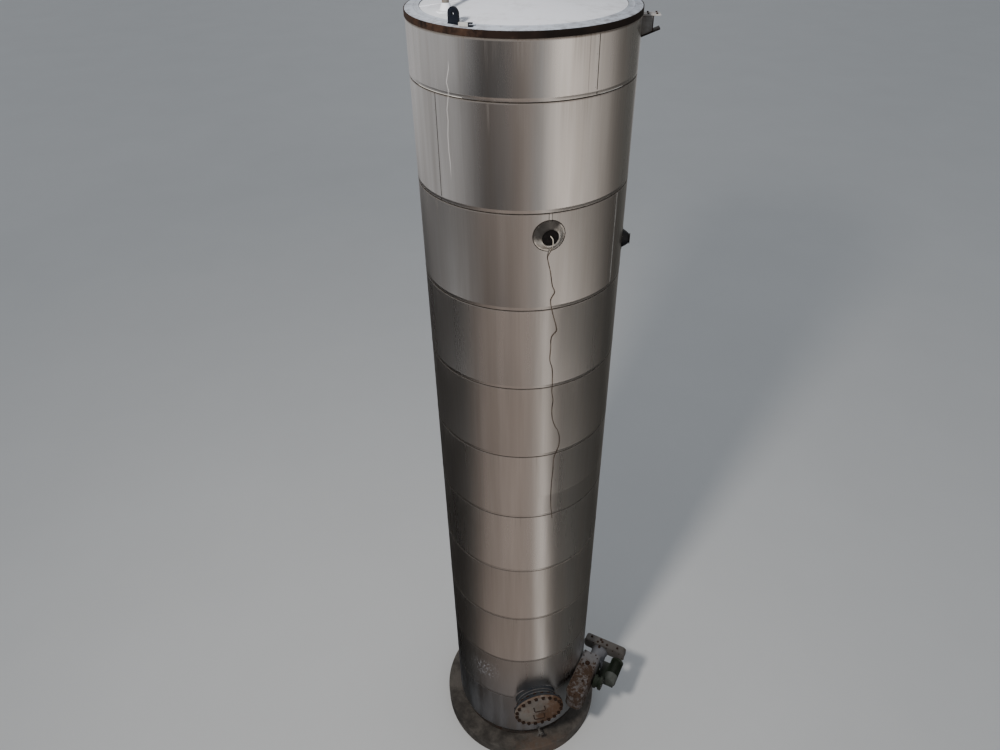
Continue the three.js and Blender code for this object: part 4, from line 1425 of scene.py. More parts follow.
# %% [markdown]
# Lifting lugs, cleat and roof pipe
#
# A lug is a thick plate with a round head and an eye for a shackle. An outline with a hole can't be
# one flat face, so the plate is built as a band between its outer line and the eye, point by point at
# the same angles. The welds at its foot are what shows that it carries load. The cleat beside the
# front lug is a bar with a forked end. The pipe ends in a blind flange and stands in a small cone of
# sheet that keeps the rain out.

# %% Lugs
def holed_plate(outer, inner, bottom, top):
    """A plate between an outer and an inner line that have the same number of points."""
    count = len(outer)
    points = [(x, y, z) for z in (bottom, top) for line in (outer, inner) for x, y in line]
    out_low, in_low, out_high, in_high = (k * count for k in range(4))
    faces = []
    for i in range(count):
        j = (i + 1) % count
        for a, b in ((out_low, in_low), (out_high, in_high), (out_low, out_high), (in_low, in_high)):
            faces.append((a + i, a + j, b + j, b + i))
    return Form(points, faces)


LUG_WIDTH = 0.104
LUG_THICK = 0.024
LUG_EYE = 0.012
lug_low, lug_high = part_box("lifting_lug")
LUG_HEIGHT = lug_high.z - lug_low.z
eye_height = LUG_HEIGHT - LUG_WIDTH / 2


def lug_form():
    """The outer line is a half circle above the eye and a rectangle below it."""
    half = LUG_WIDTH / 2
    corner = math.degrees(math.atan2(eye_height, half))
    quarters = (0.25, 0.5, 0.75, 1)
    angles = [i * 7.5 for i in range(25)] + [180 + corner * share for share in quarters]
    angles += [180 + corner + (180 - 2 * corner) * share for share in quarters]
    angles += [360 - corner * share for share in (0.75, 0.5, 0.25)]
    outer, inner = [], []
    for angle in angles:
        c, s = math.cos(math.radians(angle)), math.sin(math.radians(angle))
        reach = half if s >= 0 else min(half / max(abs(c), TINY), eye_height / max(-s, TINY))
        outer.append((reach * c, eye_height + reach * s))
        inner.append((LUG_EYE * c, eye_height + LUG_EYE * s))
    lug = bevelled(holed_plate(outer, inner, -LUG_THICK / 2, LUG_THICK / 2), 2 * MM)
    for side in (-1, 1):
        line = [Vector((x, 1 * MM, side * LUG_THICK / 2)) for x in (-half, -half / 2, 0, half / 2, half)]
        lug += swept(line, 5 * MM, 8)
    return lug


for name, node in (("front_lug", "lifting_lug"), ("rear_lug", "lifting_lug_rear")):
    low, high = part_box(node)
    place = (low + high) / 2
    azimuth = math.degrees(math.atan2(place.x, -place.y))
    stand = Matrix.Translation((place.x, place.y, low.z)) @ Matrix.Rotation(math.radians(azimuth), 4, "Z")
    piece(name, lug_form().placed(stand @ Matrix.Rotation(math.pi / 2, 4, "X")), LUG_BLUE, "dark_trim", node)

# %% Cleat with its forked end
CLEAT_AZIMUTH = -28.6
CLEAT_REACH = 0.998
CLEAT_TURN = -12
CLEAT_LENGTH = 0.112
CLEAT_WIDTH = 0.026
CLEAT_HEIGHT = 0.03
CLEAT_FORK = 0.036
standing = Matrix.Rotation(math.pi / 2, 4, "X")
cleat_place = side_point(CLEAT_AZIMUTH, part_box("roof_cleat")[0].z, CLEAT_REACH)
cleat_turn = Matrix.Rotation(math.radians(CLEAT_TURN), 4, "Z")
cleat_stand = Matrix.Translation(cleat_place) @ cleat_turn @ standing
end = CLEAT_LENGTH / 2
root = end - CLEAT_FORK
gap = root + 4 * MM
third = CLEAT_HEIGHT / 3
bar_line = [(-end, 0), (root, 0), (root, 3 * third), (-end, 3 * third)]
jaw_line = [(root, 0), (end, 0), (end, third), (gap, third), (gap, 2 * third), (end, 2 * third),
            (end, 3 * third), (root, 3 * third)]
bar, jaws = (drawn(line, -CLEAT_WIDTH / 2, CLEAT_WIDTH / 2) for line in (bar_line, jaw_line))
piece("cleat_bar", bevelled(bar, 1.5 * MM).placed(cleat_stand), SEAT_GREY, "painted_steel", "roof_cleat")
piece("cleat_jaws", bevelled(jaws, 1.2 * MM).placed(cleat_stand), LUG_BLUE, "dark_trim")

# %% Roof pipe, its flange and its rain collar
pipe_low, pipe_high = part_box("roof_pipe")
pipe_place = (pipe_low + pipe_high) / 2
PIPE_RADIUS = (pipe_high.x - pipe_low.x) / 2
flange_low, flange_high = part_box("roof_pipe_flange")
FLANGE_RADIUS = (flange_high.x - flange_low.x) / 2
pipe_roof = roof_height(math.hypot(pipe_place.x, pipe_place.y))
to_pipe = Matrix.Translation((pipe_place.x, pipe_place.y, 0))
pipe = tube(PIPE_RADIUS - 4 * MM, PIPE_RADIUS, pipe_low.z, pipe_high.z, 48)
pipe += weld_bead(PIPE_RADIUS, flange_low.z, -8 * MM, 48)
piece("roof_pipe_tube", pipe.placed(to_pipe), PIPE_GREY, "painted_steel", "roof_pipe")
# The collar's section: millimetres outwards from the pipe, and above the roof.
BOOT_SECTION = [(0.5, 62), (2, 63), (24, 8), (52, 3), (52, -6), (0.5, -6)]
boot = turned([(PIPE_RADIUS + out * MM, pipe_roof + lift * MM) for out, lift in BOOT_SECTION], 64)
piece("roof_pipe_boot", boot.placed(to_pipe), ROOF_SHEET, "roof_sheet", soft=25)
blind = disc(FLANGE_RADIUS, flange_low.z, flange_high.z, 64, 1.5 * MM)
piece("roof_pipe_blind", blind.placed(to_pipe), PIPE_GREY, "painted_steel", "roof_pipe_flange")


def both_faces(matrix, front, back):
    """Where bolts sit on the front of a flange and, turned about, their nuts on its back."""
    turned_about = Matrix.Rotation(math.pi, 4, "X")
    return (matrix @ Matrix.Translation((0, 0, front)),
            matrix @ Matrix.Translation((0, 0, back)) @ turned_about)


bolts("roof_pipe_bolts", both_faces(to_pipe, flange_high.z, flange_low.z), BOLT_RUST, "painted_steel",
      count=4, radius=FLANGE_RADIUS - 20 * MM, across=22 * MM, phase=45)

# %% [markdown]
# Side bracket
#
# Under the roof's edge on the right stands a small welded bracket: a level seat with bolts, a box
# below it and a sloping foot plate. Each is an outline in the plane of its reach, drawn out to its
# width, bevelled, and joined by weld beads, which are thin rods half sunk in the corners.

# %% Bracket
BRACKET_AZIMUTH = 85.5
BRACKET_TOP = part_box("bracket_seat")[1].z
BRACKET_PLATE = 11 * MM
BRACKET_HALF = 56 * MM
BOX_HALF = 46 * MM
SEAT_REACH = 0.158
BOX_REACH = 0.096
FOOT_REACH = 0.162
FOOT_LOW = BRACKET_TOP - 0.186
FOOT_SLOPE = 0.4
turn_bracket = Matrix.Rotation(math.radians(BRACKET_AZIMUTH - 90), 4, "Z")
to_bracket = turn_bracket @ standing


def reach_plate(outline, half):
    points = [(CLAD_RADIUS + reach, height) for reach, height in outline]
    return bevelled(drawn(points, -half, half), 1.8 * MM)


back = -3 * MM
seat_low = BRACKET_TOP - BRACKET_PLATE
foot_back, foot_mid, foot_end = (
    FOOT_LOW + FOOT_SLOPE * reach + BRACKET_PLATE for reach in (back, BOX_REACH, FOOT_REACH))
box_line = [(back, foot_back), (BOX_REACH, foot_mid), (BOX_REACH, seat_low), (back, seat_low)]
seat = reach_plate([(back, seat_low), (SEAT_REACH, seat_low), (SEAT_REACH, BRACKET_TOP),
                    (back, BRACKET_TOP)], BRACKET_HALF)
box = reach_plate(box_line, BOX_HALF)
foot = reach_plate([(back, foot_back - BRACKET_PLATE), (FOOT_REACH, foot_end - BRACKET_PLATE),
                    (FOOT_REACH, foot_end), (back, foot_back)], BRACKET_HALF)
weld_lines = [(box_line[0], box_line[1]), (box_line[3], box_line[2]), (box_line[1], box_line[2]),
              ((0, foot_back), (0, seat_low))]
welds = NOTHING
for side in (-BOX_HALF, BOX_HALF):
    for start_and_end in weld_lines:
        ends = [Vector((CLAD_RADIUS + reach, height, side)) for reach, height in start_and_end]
        welds += swept([ends[0], ends[0].lerp(ends[1], 0.5), ends[1]], 3.5 * MM, 8)
piece("bracket_seat_plate", seat.placed(to_bracket), SEAT_GREY, "painted_steel", "bracket_seat")
piece("bracket_welded_box", box.placed(to_bracket), BOX_GREY, "painted_steel", "bracket_box")
piece("bracket_foot_plate", foot.placed(to_bracket), CURB_DARK_SUNLIT_LEFT, "dark_trim", "bracket_foot")
piece("bracket_welds", welds.placed(to_bracket), BOLT_RUST, "dark_trim")
BOLT_ASIDE = 36 * MM
BOLT_REACHES = (50 * MM, 125 * MM)
seat_lines = [[turn_bracket @ Vector((CLAD_RADIUS + reach, side, BRACKET_TOP))
               for side in (-BOLT_ASIDE, BOLT_ASIDE)] for reach in BOLT_REACHES]
fixings("bracket_seat_bolts", seat_lines, BOLT_RUST, "painted_steel", spacing=2 * BOLT_ASIDE,
        size=(10, 9, 9), sides=6, towards=UP)

# %% [markdown]
# Stubs near the top
#
# Each stub is a short pipe that comes out through the cladding. The tinsmith closes the sheet round
# it with a cone whose foot follows the tank's curve, so the foot of the cone isn't a flat circle: each
# of its points is set on the cylinder. The cone is rolled from one piece, and its own lap shows as a
# small step on the left. The front cone is bright, with a dark patch that grows towards its upper
# left: partly a smudge of dirt, partly a painted dark reflection. Inside the front stub sits a black
# plug.

# %% Finish of the front cone
FRONT_AZIMUTH = 11.4
FRONT_HEIGHT = 9.235
UPPER_LEFT = Vector((-0.45, 0, 0.893))
SMUDGE_REFLECTION_START = side_point(FRONT_AZIMUTH, FRONT_HEIGHT, 1.07).dot(UPPER_LEFT) - 5 * MM
SMUDGE_REFLECTION_LENGTH = 75 * MM


def bright_collar():
    made, graph, where = material("bright_collar")
    cloud = graph.noise(where, 20.0, 5, 0.6)
    colour = graph.mix(graph.between(cloud, 0.4, 0.62), (0.8, 0.76, 0.7), (0.55, 0.51, 0.46))
    reach = graph.ruler(where, UPPER_LEFT) + (cloud - 0.5) * 0.06
    # The dark patch towards the upper left is a smudge of dirt and a painted dark reflection.
    smudge_and_dark_reflection = graph.between(reach, SMUDGE_REFLECTION_START, SMUDGE_REFLECTION_START + SMUDGE_REFLECTION_LENGTH, 0, 0.93)
    colour = graph.mix(smudge_and_dark_reflection, colour, (0.035, 0.032, 0.031))
    finish(graph, colour, 0.2 + cloud * 0.16 + smudge_and_dark_reflection * 0.2, 0.7, cloud * 1.5, 1.5 * MM)
    return made


COLLAR_SHEET = bright_collar()
print("material", COLLAR_SHEET.name)

# %% Stubs and their cones
# Radii of the pipe, its bore, and the cone's foot and top, and how far the pipe stands out.
FRONT_STUB = {"azimuth": FRONT_AZIMUTH, "height": FRONT_HEIGHT, "pipe": 84.2 * MM, "bore": 81 * MM,
              "proud": 52 * MM, "foot": 138 * MM, "top": 90 * MM, "paint": COLLAR_SHEET,
              "skin": COLLAR_SHEET}
SIDE_STUB = {"azimuth": 80, "height": 8.78, "pipe": 44.5 * MM, "bore": 41 * MM, "proud": 72 * MM,
             "foot": 98 * MM, "top": 50 * MM, "paint": BASE_DARK, "skin": LUG_BLUE}
COLLAR_SHORT = 6 * MM
COLLAR_THICK = 1.2 * MM
COLLAR_FLANGE = 12 * MM


def on_cylinder(x, lift=0.0):
    """How far out the cladding stands, at a distance to the side of a fitting's axis."""
    return math.sqrt(max((CLAD_RADIUS + lift) ** 2 - x * x, 0))


def round_fitting(turn, radius, lift):
    """A closed line on the cladding round a fitting."""
    circle = arc(0, 0, radius, 0, 360, 60)
    return [turn @ Vector((x, y, on_cylinder(x, lift))) for x, y in circle]


def collar(rows, top, columns=96):
    """A thin sheet through rows of (radius, share of the way from the cladding to the top)."""
    points, faces = [], []
    count = len(rows)
    for thick in (0, COLLAR_THICK):
        for radius, share in rows:
            wide = radius + thick * 0.6
            for x, y in arc(0, 0, wide, 0, 360, columns)[:-1]:
                low = on_cylinder(x, 0.4 * MM)
                points.append((x, y, low + (top - low) * share + thick * 0.8))
    inner = [(row, row + 1) for row in range(count - 1)]
    outer = [(count + row, count + row + 1) for row in range(count - 1)]
    for low, high in [*inner, *outer, (0, count), (count - 1, 2 * count - 1)]:
        a, b = low * columns, high * columns
        for i in range(columns):
            j = (i + 1) % columns
            faces.append((a + i, a + j, b + j, b + i))
    return Form(points, faces)


def stub_pieces(name, stub):
    """The pieces that both stubs share. Their nodes are called name and name_collar."""
    end = CLAD_RADIUS + stub["proud"]
    turn = to_side(stub["azimuth"], stub["height"])
    pipe, bore, foot, crown = stub["pipe"], stub["bore"], stub["foot"], stub["top"]
    inside = SHELL_RADIUS - 20 * MM
    lip = 1.5 * MM
    tube_line = [(bore, inside), (pipe, inside), (pipe, end - lip), (pipe - lip, end), (bore + lip, end),
                 (bore, end - lip)]
    piece(f"{name}_pipe", turned(tube_line, 96).placed(turn), stub["paint"], "painted_steel", name, soft=50)
    rows = [(foot + COLLAR_FLANGE, 0), (foot - 4 * MM, 0.02), (foot + (crown - foot) * 0.5, 0.53),
            (crown + 2 * MM, 0.95), (crown - 1 * MM, 1), (pipe + 0.6 * MM, 1)]
    cone = collar(rows, end - COLLAR_SHORT).placed(turn)
    sheet_piece(f"{name}_cone", cone, 0.1, NO_SEAM, f"{name}_collar", paint=stub["skin"], soft=25)
    bead = swept(round_fitting(turn, foot + COLLAR_FLANGE + 1 * MM, 0.5 * MM), 4 * MM, 8)
    piece(f"{name}_bead", bead, MASTIC, "dark_trim")
    rivets = round_fitting(turn, foot - 1 * MM, 1.8 * MM)
    fixings(f"{name}_rivets", [rivets], BRIGHT_BOLT, "cladding", RIVET_PITCH, size=(2.8, 1.6, 1.6))
    return turn, end


to_front, front_end = stub_pieces("front_stub", FRONT_STUB)
to_end, side_end = stub_pieces("side_stub", SIDE_STUB)

# %% Plug, cap and the cone's own lap
PLUG_BACK = 24 * MM
PLUG_DISH = 2.5 * MM
plug_face = front_end - 14 * MM
plug_fit = FRONT_STUB["bore"] - 0.3 * MM
plug = turned([(0, plug_face - PLUG_BACK), (plug_fit, plug_face - PLUG_BACK), (plug_fit, plug_face - 3 * MM),
               (FRONT_STUB["bore"] - 3 * MM, plug_face), (46 * MM, plug_face),
               (43 * MM, plug_face - PLUG_DISH), (20 * MM, plug_face - PLUG_DISH), (17 * MM, plug_face),
               (0, plug_face)], 96)
piece("front_plug", plug.placed(to_front), PLUG_RUBBER, "plug_rubber", "front_stub_plug")
cap = disc(54 * MM, side_end + 0.3 * MM, side_end + 8 * MM, 64, 2 * MM)
piece("side_cap", cap.placed(to_end), CURB_DARK_SUNLIT_LEFT, "dark_trim", "side_stub_cap")
cone_run = FRONT_STUB["foot"] - FRONT_STUB["top"]
slope = math.atan2(front_end - COLLAR_SHORT - on_cylinder(0.115), cone_run)
reach = (FRONT_STUB["foot"] + FRONT_STUB["top"]) / 2
lap_place = Matrix.Translation((-reach, 2 * MM, on_cylinder(reach) + 27 * MM))
lap_step = bevelled(block(44 * MM, 3 * MM, 1.6 * MM), 0.5 * MM)
lap_step = lap_step.placed(to_front @ lap_place @ Matrix.Rotation(-slope, 4, "Y"))
piece("front_cone_lap", lap_step, MASTIC, "dark_trim")

# %% [markdown]
# Manway
#
# The manway is the way in: a wide neck with a flange, a gasket, and a blind cover held by twenty
# bolts. The bolts are one ring from the rule above, and the nuts behind the flange are the same ring
# turned about. The two handles are round bar, bent, with their feet welded on.

# %% Neck, flange, gasket and cover
to_manway = to_side(MANWAY_AZIMUTH, MANWAY_HEIGHT)
MANWAY_NECK = 0.305
MANWAY_FLANGE = 0.3775
COVER_THICK = 0.028
FLANGE_THICK = 0.03
BOLT_CIRCLE = 0.349
NECK_TRIM_END = 1.06
cover_back = COVER_FACE - COVER_THICK
flange_face = cover_back - 3.3 * MM
flange_back = cover_back - FLANGE_THICK - 0.3 * MM
neck = tube(MANWAY_NECK - 8 * MM, MANWAY_NECK, SHELL_RADIUS - 60 * MM, flange_face, 128)
neck += tube(MANWAY_NECK - 4 * MM, MANWAY_FLANGE, flange_back, flange_face, 128, 2.5 * MM)
neck += weld_bead(MANWAY_NECK, flange_back, -11 * MM, 128)
piece("manway_neck_and_flange", neck.placed(to_manway), NECK_BLUE, "manway_steel", "manway_neck")
gasket = tube(MANWAY_NECK, BOLT_CIRCLE - 14 * MM, flange_face, cover_back, 128)
piece("manway_gasket", gasket.placed(to_manway), GASKET, "plug_rubber")
cover = disc(MANWAY_FLANGE, cover_back, COVER_FACE, 128, 3 * MM)
piece("manway_blind_cover", cover.placed(to_manway), COVER_PALE, "manway_steel", "manway_cover")
bolts("manway_bolts", both_faces(to_manway, COVER_FACE, flange_back), BOLT_RUST, "dark_trim",
      count=20, radius=BOLT_CIRCLE, across=45 * MM, phase=9, stud=6 * MM)

# %% Trim and rings on the neck
trim_rows = [(MANWAY_NECK + 34 * MM, 0), (MANWAY_NECK + 8 * MM, 0.02), (MANWAY_NECK + 1 * MM, 0.12)]
trim = collar(trim_rows, NECK_TRIM_END, 128).placed(to_manway)
sheet_piece("manway_neck_trim", trim, 0.6, NO_SEAM, soft=25)
neck_rings = NOTHING
for reach, wide in ((1.075, 5 * MM), (1.118, 4 * MM), (flange_back - 20 * MM, 6 * MM)):
    neck_rings += tube(MANWAY_NECK - 2 * MM, MANWAY_NECK + wide, reach, reach + 8 * MM, 128, 2 * MM)
piece("manway_neck_rings", neck_rings.placed(to_manway), DRAIN_GREY, "manway_steel")

# %% Handles
HANDLE_HALF = 82.5 * MM
HANDLE_PROUD = 64 * MM
HANDLE_RADIUS = 8 * MM
HANDLE_BEND = 22 * MM


def handle_form():
    bend = arc(-HANDLE_HALF + HANDLE_BEND, HANDLE_PROUD - HANDLE_BEND, HANDLE_BEND, 180, 90, 7)
    half = [(-HANDLE_HALF, 0), (-HANDLE_HALF, HANDLE_PROUD - HANDLE_BEND), *bend[1:]]
    line = half + [(-x, y) for x, y in reversed(half)]
    rod = swept([Vector((x, 0, y)) for x, y in line], HANDLE_RADIUS, 14)
    for x in (-HANDLE_HALF, HANDLE_HALF):
        rod += weld_bead(HANDLE_RADIUS, 0, 5 * MM, 20).moved(x=x)
    return rod


for name, rise in (("upper", 92 * MM), ("lower", -122 * MM)):
    grip = handle_form().moved(y=rise, z=COVER_FACE + 0.3 * MM).placed(to_manway)
    piece(f"cover_handle_{name}", grip, HANDLE_RUST, "dark_trim", f"manway_handle_{name}")

# %% Drain under the manway
DRAIN_AZIMUTH = 13.8
DRAIN_HEIGHT = 0.492
DRAIN_PIPE = 17 * MM
DRAIN_BORE = 12 * MM
DRAIN_FLANGE = 48 * MM
to_drain = to_side(DRAIN_AZIMUTH, DRAIN_HEIGHT)
drain_start = SHELL_RADIUS - 20 * MM
drain_end = CLAD_RADIUS + 0.116
drain_face = drain_end + 16 * MM
drain = turned([(0, drain_start), (DRAIN_PIPE, drain_start), (DRAIN_PIPE, drain_end),
                *edge_of(DRAIN_FLANGE, drain_end, drain_face, 1.5 * MM), (DRAIN_BORE + 1 * MM, drain_face),
                (DRAIN_BORE, drain_face - 1 * MM), (DRAIN_BORE, drain_face - 30 * MM),
                (0, drain_face - 30 * MM)], 64)
drain += weld_bead(DRAIN_PIPE, drain_end, -6 * MM, 64)
piece("drain_and_flange", drain.placed(to_drain), DRAIN_GREY, "painted_steel", "drain_pipe")
bolts("drain_flange_bolts", [to_drain @ Matrix.Translation((0, 0, drain_face))], BOLT_RUST,
      "painted_steel", count=4, radius=34 * MM, across=15 * MM, phase=45)

# %% [markdown]
# The agitator's case
#
# A machine stands in the side of the tank near its foot and stirs what is inside. Its own axes are
# u, out from the tank, v, along the shell and away from the front, and z. The case is a casting: an
# outline with a round front end, bevelled like cast corners, with a bolted lid, cast ribs on its
# outer face and thick flaking paint. The lid's bolts follow the same outline, drawn a little smaller.

# %% Gear case
to_agitator = Matrix.Rotation(math.radians(AGITATOR_AZIMUTH - 90), 4, "Z")
CASE_U = (1.05, 1.31)
CASE_V = (-0.62, 0.19)
CASE_LOW, CASE_TOP = 1.24, 1.6
CASE_MIDDLE = (CASE_LOW + CASE_TOP) / 2
CASE_ROUND = 0.09
CASE_RIBS = (-0.42, -0.26, -0.1, 0.08)
LID_THICK = 14 * MM


def case_outline(inset=0.0):
    low, high = CASE_U[0] + inset, CASE_U[1] - inset
    front, rear = CASE_V[0] + inset, CASE_V[1] - inset
    size = CASE_ROUND - inset * 0.5
    first = arc(low + size, front + size, size, 180, 270)
    second = arc(high - size, front + size, size, 270, 360)
    return [(low, rear), *first, *second, (high, rear)]


lid_low = CASE_TOP - LID_THICK
case = bevelled(drawn(case_outline(), CASE_LOW, lid_low), 7 * MM, 3)
lid = bevelled(drawn(case_outline(5 * MM), lid_low, CASE_TOP), 3 * MM)
for v in CASE_RIBS:
    case_rib = bevelled(block(16 * MM, 14 * MM, CASE_TOP - CASE_LOW - 80 * MM), 3 * MM)
    case += case_rib.moved(CASE_U[1] - 3 * MM, v, CASE_MIDDLE - 8 * MM)
for z in (CASE_LOW + 30 * MM, lid_low - 9 * MM):
    case += bevelled(drawn(case_outline(-6 * MM), z - 7 * MM, z + 7 * MM), 2.5 * MM)
piece("gear_case_body", case.placed(to_agitator), CASE_PAINT, "machine_paint", "agitator_gear_case")
piece("gear_case_lid", lid.placed(to_agitator), CASE_PAINT, "machine_paint")
lid_path = [to_agitator @ Vector((u, v, CASE_TOP)) for u, v in case_outline(24 * MM)]
lid_path.append(lid_path[0])
fixings("gear_case_bolts", [lid_path], BOLT_RUST, "machine_paint", spacing=0.088, size=(11, 9.5, 9),
        sides=6, towards=UP)

# %% Screwed plugs on the case
def hexagon_plug(across, height):
    """A screwed plug: a round seat and a bevelled hexagon on it."""
    hexagon = drawn(arc(0, 0, across / math.sqrt(3), 0, 300, 5), 0, height)
    return disc(across * 0.66, 0, height * 0.35, 24, 1 * MM) + bevelled(hexagon, 1.5 * MM)


# Place along u and v, then millimetres across the flats and in height.
CASE_PLUGS = ((1.175, -0.018, 58, 24), (1.12, -0.06, 26, 16), (1.22, -0.33, 30, 14))
plugs = NOTHING
for u, v, across, height in CASE_PLUGS:
    plugs += hexagon_plug(across * MM, height * MM).moved(u, v, CASE_TOP + 0.2 * MM)
piece("gear_case_plugs", plugs.placed(to_agitator), BOLT_RUST, "machine_paint")

# %% [markdown]
# Bearing housing, belt guard, motor and drum
#
# Behind the case lie a turned bearing housing and a flat guard over the belt, and beside them the
# motor on its angle bracket. Turned pieces are profiles, as before, laid along v. The motor's cooling
# fins are a ring of thin blades from a Geometry Nodes rule: forty of them, too many to place by hand
# and too thin to be bump. Its pale fan cowl has a grille of rings.

# %% Nozzle, bearing housing and guard
def along_v(u, z):
    """A turned piece's place: its axis lies along v."""
    lay_down = Matrix.Rotation(-math.pi / 2, 4, "X")
    return to_agitator @ Matrix.Translation((u, 0, z)) @ lay_down


NOZZLE_HEIGHT = 1.4
NOZZLE_RADIUS = 136.5 * MM
nozzle = tube(NOZZLE_RADIUS - 7 * MM, NOZZLE_RADIUS, SHELL_RADIUS - 20 * MM, CASE_U[0] - 0.3 * MM, 96)
nozzle = nozzle.placed(to_side(AGITATOR_AZIMUTH, NOZZLE_HEIGHT))
piece("agitator_pipe", nozzle, PIPE_GREY, "painted_steel", "agitator_nozzle")

HOUSING_U, HOUSING_Z, HOUSING_RADIUS = 1.225, 1.33, 0.132
housing_profile = [
    (0, 0.1903), (0.128, 0.1903), (0.132, 0.194), (0.132, 0.212), (0.128, 0.216), (0.1235, 0.222),
    (0.1235, 0.404), (0.128, 0.411), (0.132, 0.415), (0.132, 0.436), (0.129, 0.4397), (0, 0.4397)]
housing = turned(housing_profile, 96).placed(along_v(HOUSING_U, HOUSING_Z))
piece("bearing_housing_body", housing, HOUSING_PAINT, "machine_paint", "agitator_bearing_housing")

GUARD_U = (0.945, 1.625)
GUARD_Z = (1.29, 1.5)
GUARD_V = (0.44, 0.57)
GUARD_ROUND = 62 * MM


def guard_outline(inset=0.0):
    size = GUARD_ROUND - inset * 0.6
    left, right = GUARD_U[0] + inset + size, GUARD_U[1] - inset - size
    low, high = GUARD_Z[0] + inset + size, GUARD_Z[1] - inset - size
    corners = ((right, low, -90), (right, high, 0), (left, high, 90), (left, low, 180))
    return [point for x, y, start in corners for point in arc(x, y, size, start, start + 90)]


def guard_plate(inset, start, stop, bevel):
    """A plate of the guard's outline, from start to stop along v."""
    flat = bevelled(drawn(guard_outline(inset), start, stop), bevel, 3)
    return flat.placed(standing @ Matrix.Scale(-1, 4, UP))


guard = guard_plate(3 * MM, GUARD_V[0] + 0.3 * MM, GUARD_V[1], 9 * MM)
guard += guard_plate(-3 * MM, GUARD_V[0] + 14 * MM, GUARD_V[0] + 22 * MM, 2 * MM)
guard += guard_plate(36 * MM, GUARD_V[1] - 4 * MM, GUARD_V[1] + 3 * MM, 2.5 * MM)
piece("belt_guard_shell", guard.placed(to_agitator), GUARD_PAINT, "machine_paint", "agitator_belt_guard")

# %% Screws and bolts of the guard
FACE_SCREWS = ((0.99, 1.47), (1.34, 1.475), (1.57, 1.46), (1.6, 1.38))
TOP_BOLTS = ((1.046, 0.52), (1.166, 0.47), (1.235, 0.5), (1.32, 0.48), (1.49, 0.5), (1.2, 0.53))
HOUSING_BOLT = (1.214, 0.415)
guard_face = [to_agitator @ Vector((u, GUARD_V[0] + 0.3 * MM, z)) for u, z in FACE_SCREWS]
to_the_front = to_agitator @ Vector((0, -1, 0))
fixings("belt_guard_screws", [guard_face], BOLT_RUST, "machine_paint", spacing=0.1, size=(10, 8.5, 9),
        sides=6, towards=to_the_front)
guard_bolts = NOTHING
for u, v in TOP_BOLTS:
    guard_bolts += hexagon_plug(30 * MM, 16 * MM).moved(u, v, GUARD_Z[1] - 4 * MM)
guard_bolts += hexagon_plug(34 * MM, 18 * MM).moved(*HOUSING_BOLT, HOUSING_Z + HOUSING_RADIUS - 2 * MM)
piece("belt_guard_bolts", guard_bolts.placed(to_agitator), BOLT_RUST, "machine_paint")

# %% Geometry Nodes: fins in a ring
def fin_ring_rule():
    tree, graph, given = new_rule(
        "fin_ring", Count="count", Inner="size", Outer="size", Length="size", Thick="size", Paint="paint")
    middle = (given["Inner"] + given["Outer"]) * 0.5
    circle = graph.node("GeometryNodeMeshCircle", {}, {"Vertices": given["Count"], "Radius": middle})
    size = xyz(graph, given["Outer"] - given["Inner"], given["Thick"], given["Length"])
    fin = graph.node("GeometryNodeMeshCube", {}, {"Size": size})
    place = graph.node("GeometryNodeInputPosition")
    out = graph.node("FunctionNodeAlignRotationToVector", {"axis": "X"}, {"Vector": place})
    placed = at_points(graph, circle, fin, out)
    shift = xyz(graph, z=given["Length"] * 0.5)
    ring = graph.node("GeometryNodeTransform", {}, {"Geometry": placed, "Translation": shift})
    end_rule(graph, ring, given["Paint"])
    return tree


FIN_RING = fin_ring_rule()
print("rule", FIN_RING.name)

# %% Motor with its fins and cowl
MOTOR_U, MOTOR_Z, MOTOR_RADIUS = 1.538, 1.24, 0.1
COWL_END = 0.165
FIN_COUNT = 40
FIN_INNER, FIN_OUTER = 0.08, 0.0985
FIN_LENGTH = 0.24
FIN_THICK = 2.6 * MM
FOOT_THICK = 30 * MM
FOOT_SIZE = (0.16, 0.2532, FOOT_THICK)
FOOT_V = 0.229
GRILLE_RINGS = (0.044, 0.054, 0.064)
body_profile = [
    (0, COWL_END - 0.01), (0.084, COWL_END - 0.01), (0.084, 0.405), (0.097, 0.41), (0.1, 0.414),
    (0.1, 0.436), (0.097, 0.4397), (0, 0.4397)]
cowl_profile = [
    (0, 0.022), (0.03, 0.022), (0.034, 0.018), (0.072, 0.018), (0.086, 0.021), (0.096, 0.032), (0.1, 0.05),
    (0.1, COWL_END), (0.096, COWL_END), (0.09, COWL_END - 0.02), (0, COWL_END - 0.02)]
to_motor = along_v(MOTOR_U, MOTOR_Z)
foot_low = MOTOR_Z - MOTOR_RADIUS + 12 * MM - FOOT_THICK
motor_foot = bevelled(block(*FOOT_SIZE), 3 * MM).moved(MOTOR_U, FOOT_V, foot_low + FOOT_THICK / 2)
barrel = turned(body_profile, 80).placed(to_motor) + motor_foot.placed(to_agitator)
piece("motor_barrel", barrel, DARK_GREEN_AND_SHADE, "dark_paint", "agitator_motor")
fins = grown("motor_fins", FIN_RING, {
    "Count": FIN_COUNT, "Inner": FIN_INNER, "Outer": FIN_OUTER, "Length": FIN_LENGTH, "Thick": FIN_THICK,
    "Paint": DARK_GREEN_AND_SHADE})
fins.transform(to_motor @ Matrix.Translation((0, 0, COWL_END)))
piece("motor_fins", fins, DARK_GREEN_AND_SHADE, "dark_paint")
cowl = turned(cowl_profile, 80)
for radius in GRILLE_RINGS:
    low, high = radius - 1.6 * MM, radius + 1.6 * MM
    cowl += turned([(low, 0.0165), (high, 0.0165), (high, 0.02), (low, 0.02)], 48)
piece("motor_cowl", cowl.placed(to_motor), MOTOR_PAINT, "machine_paint")

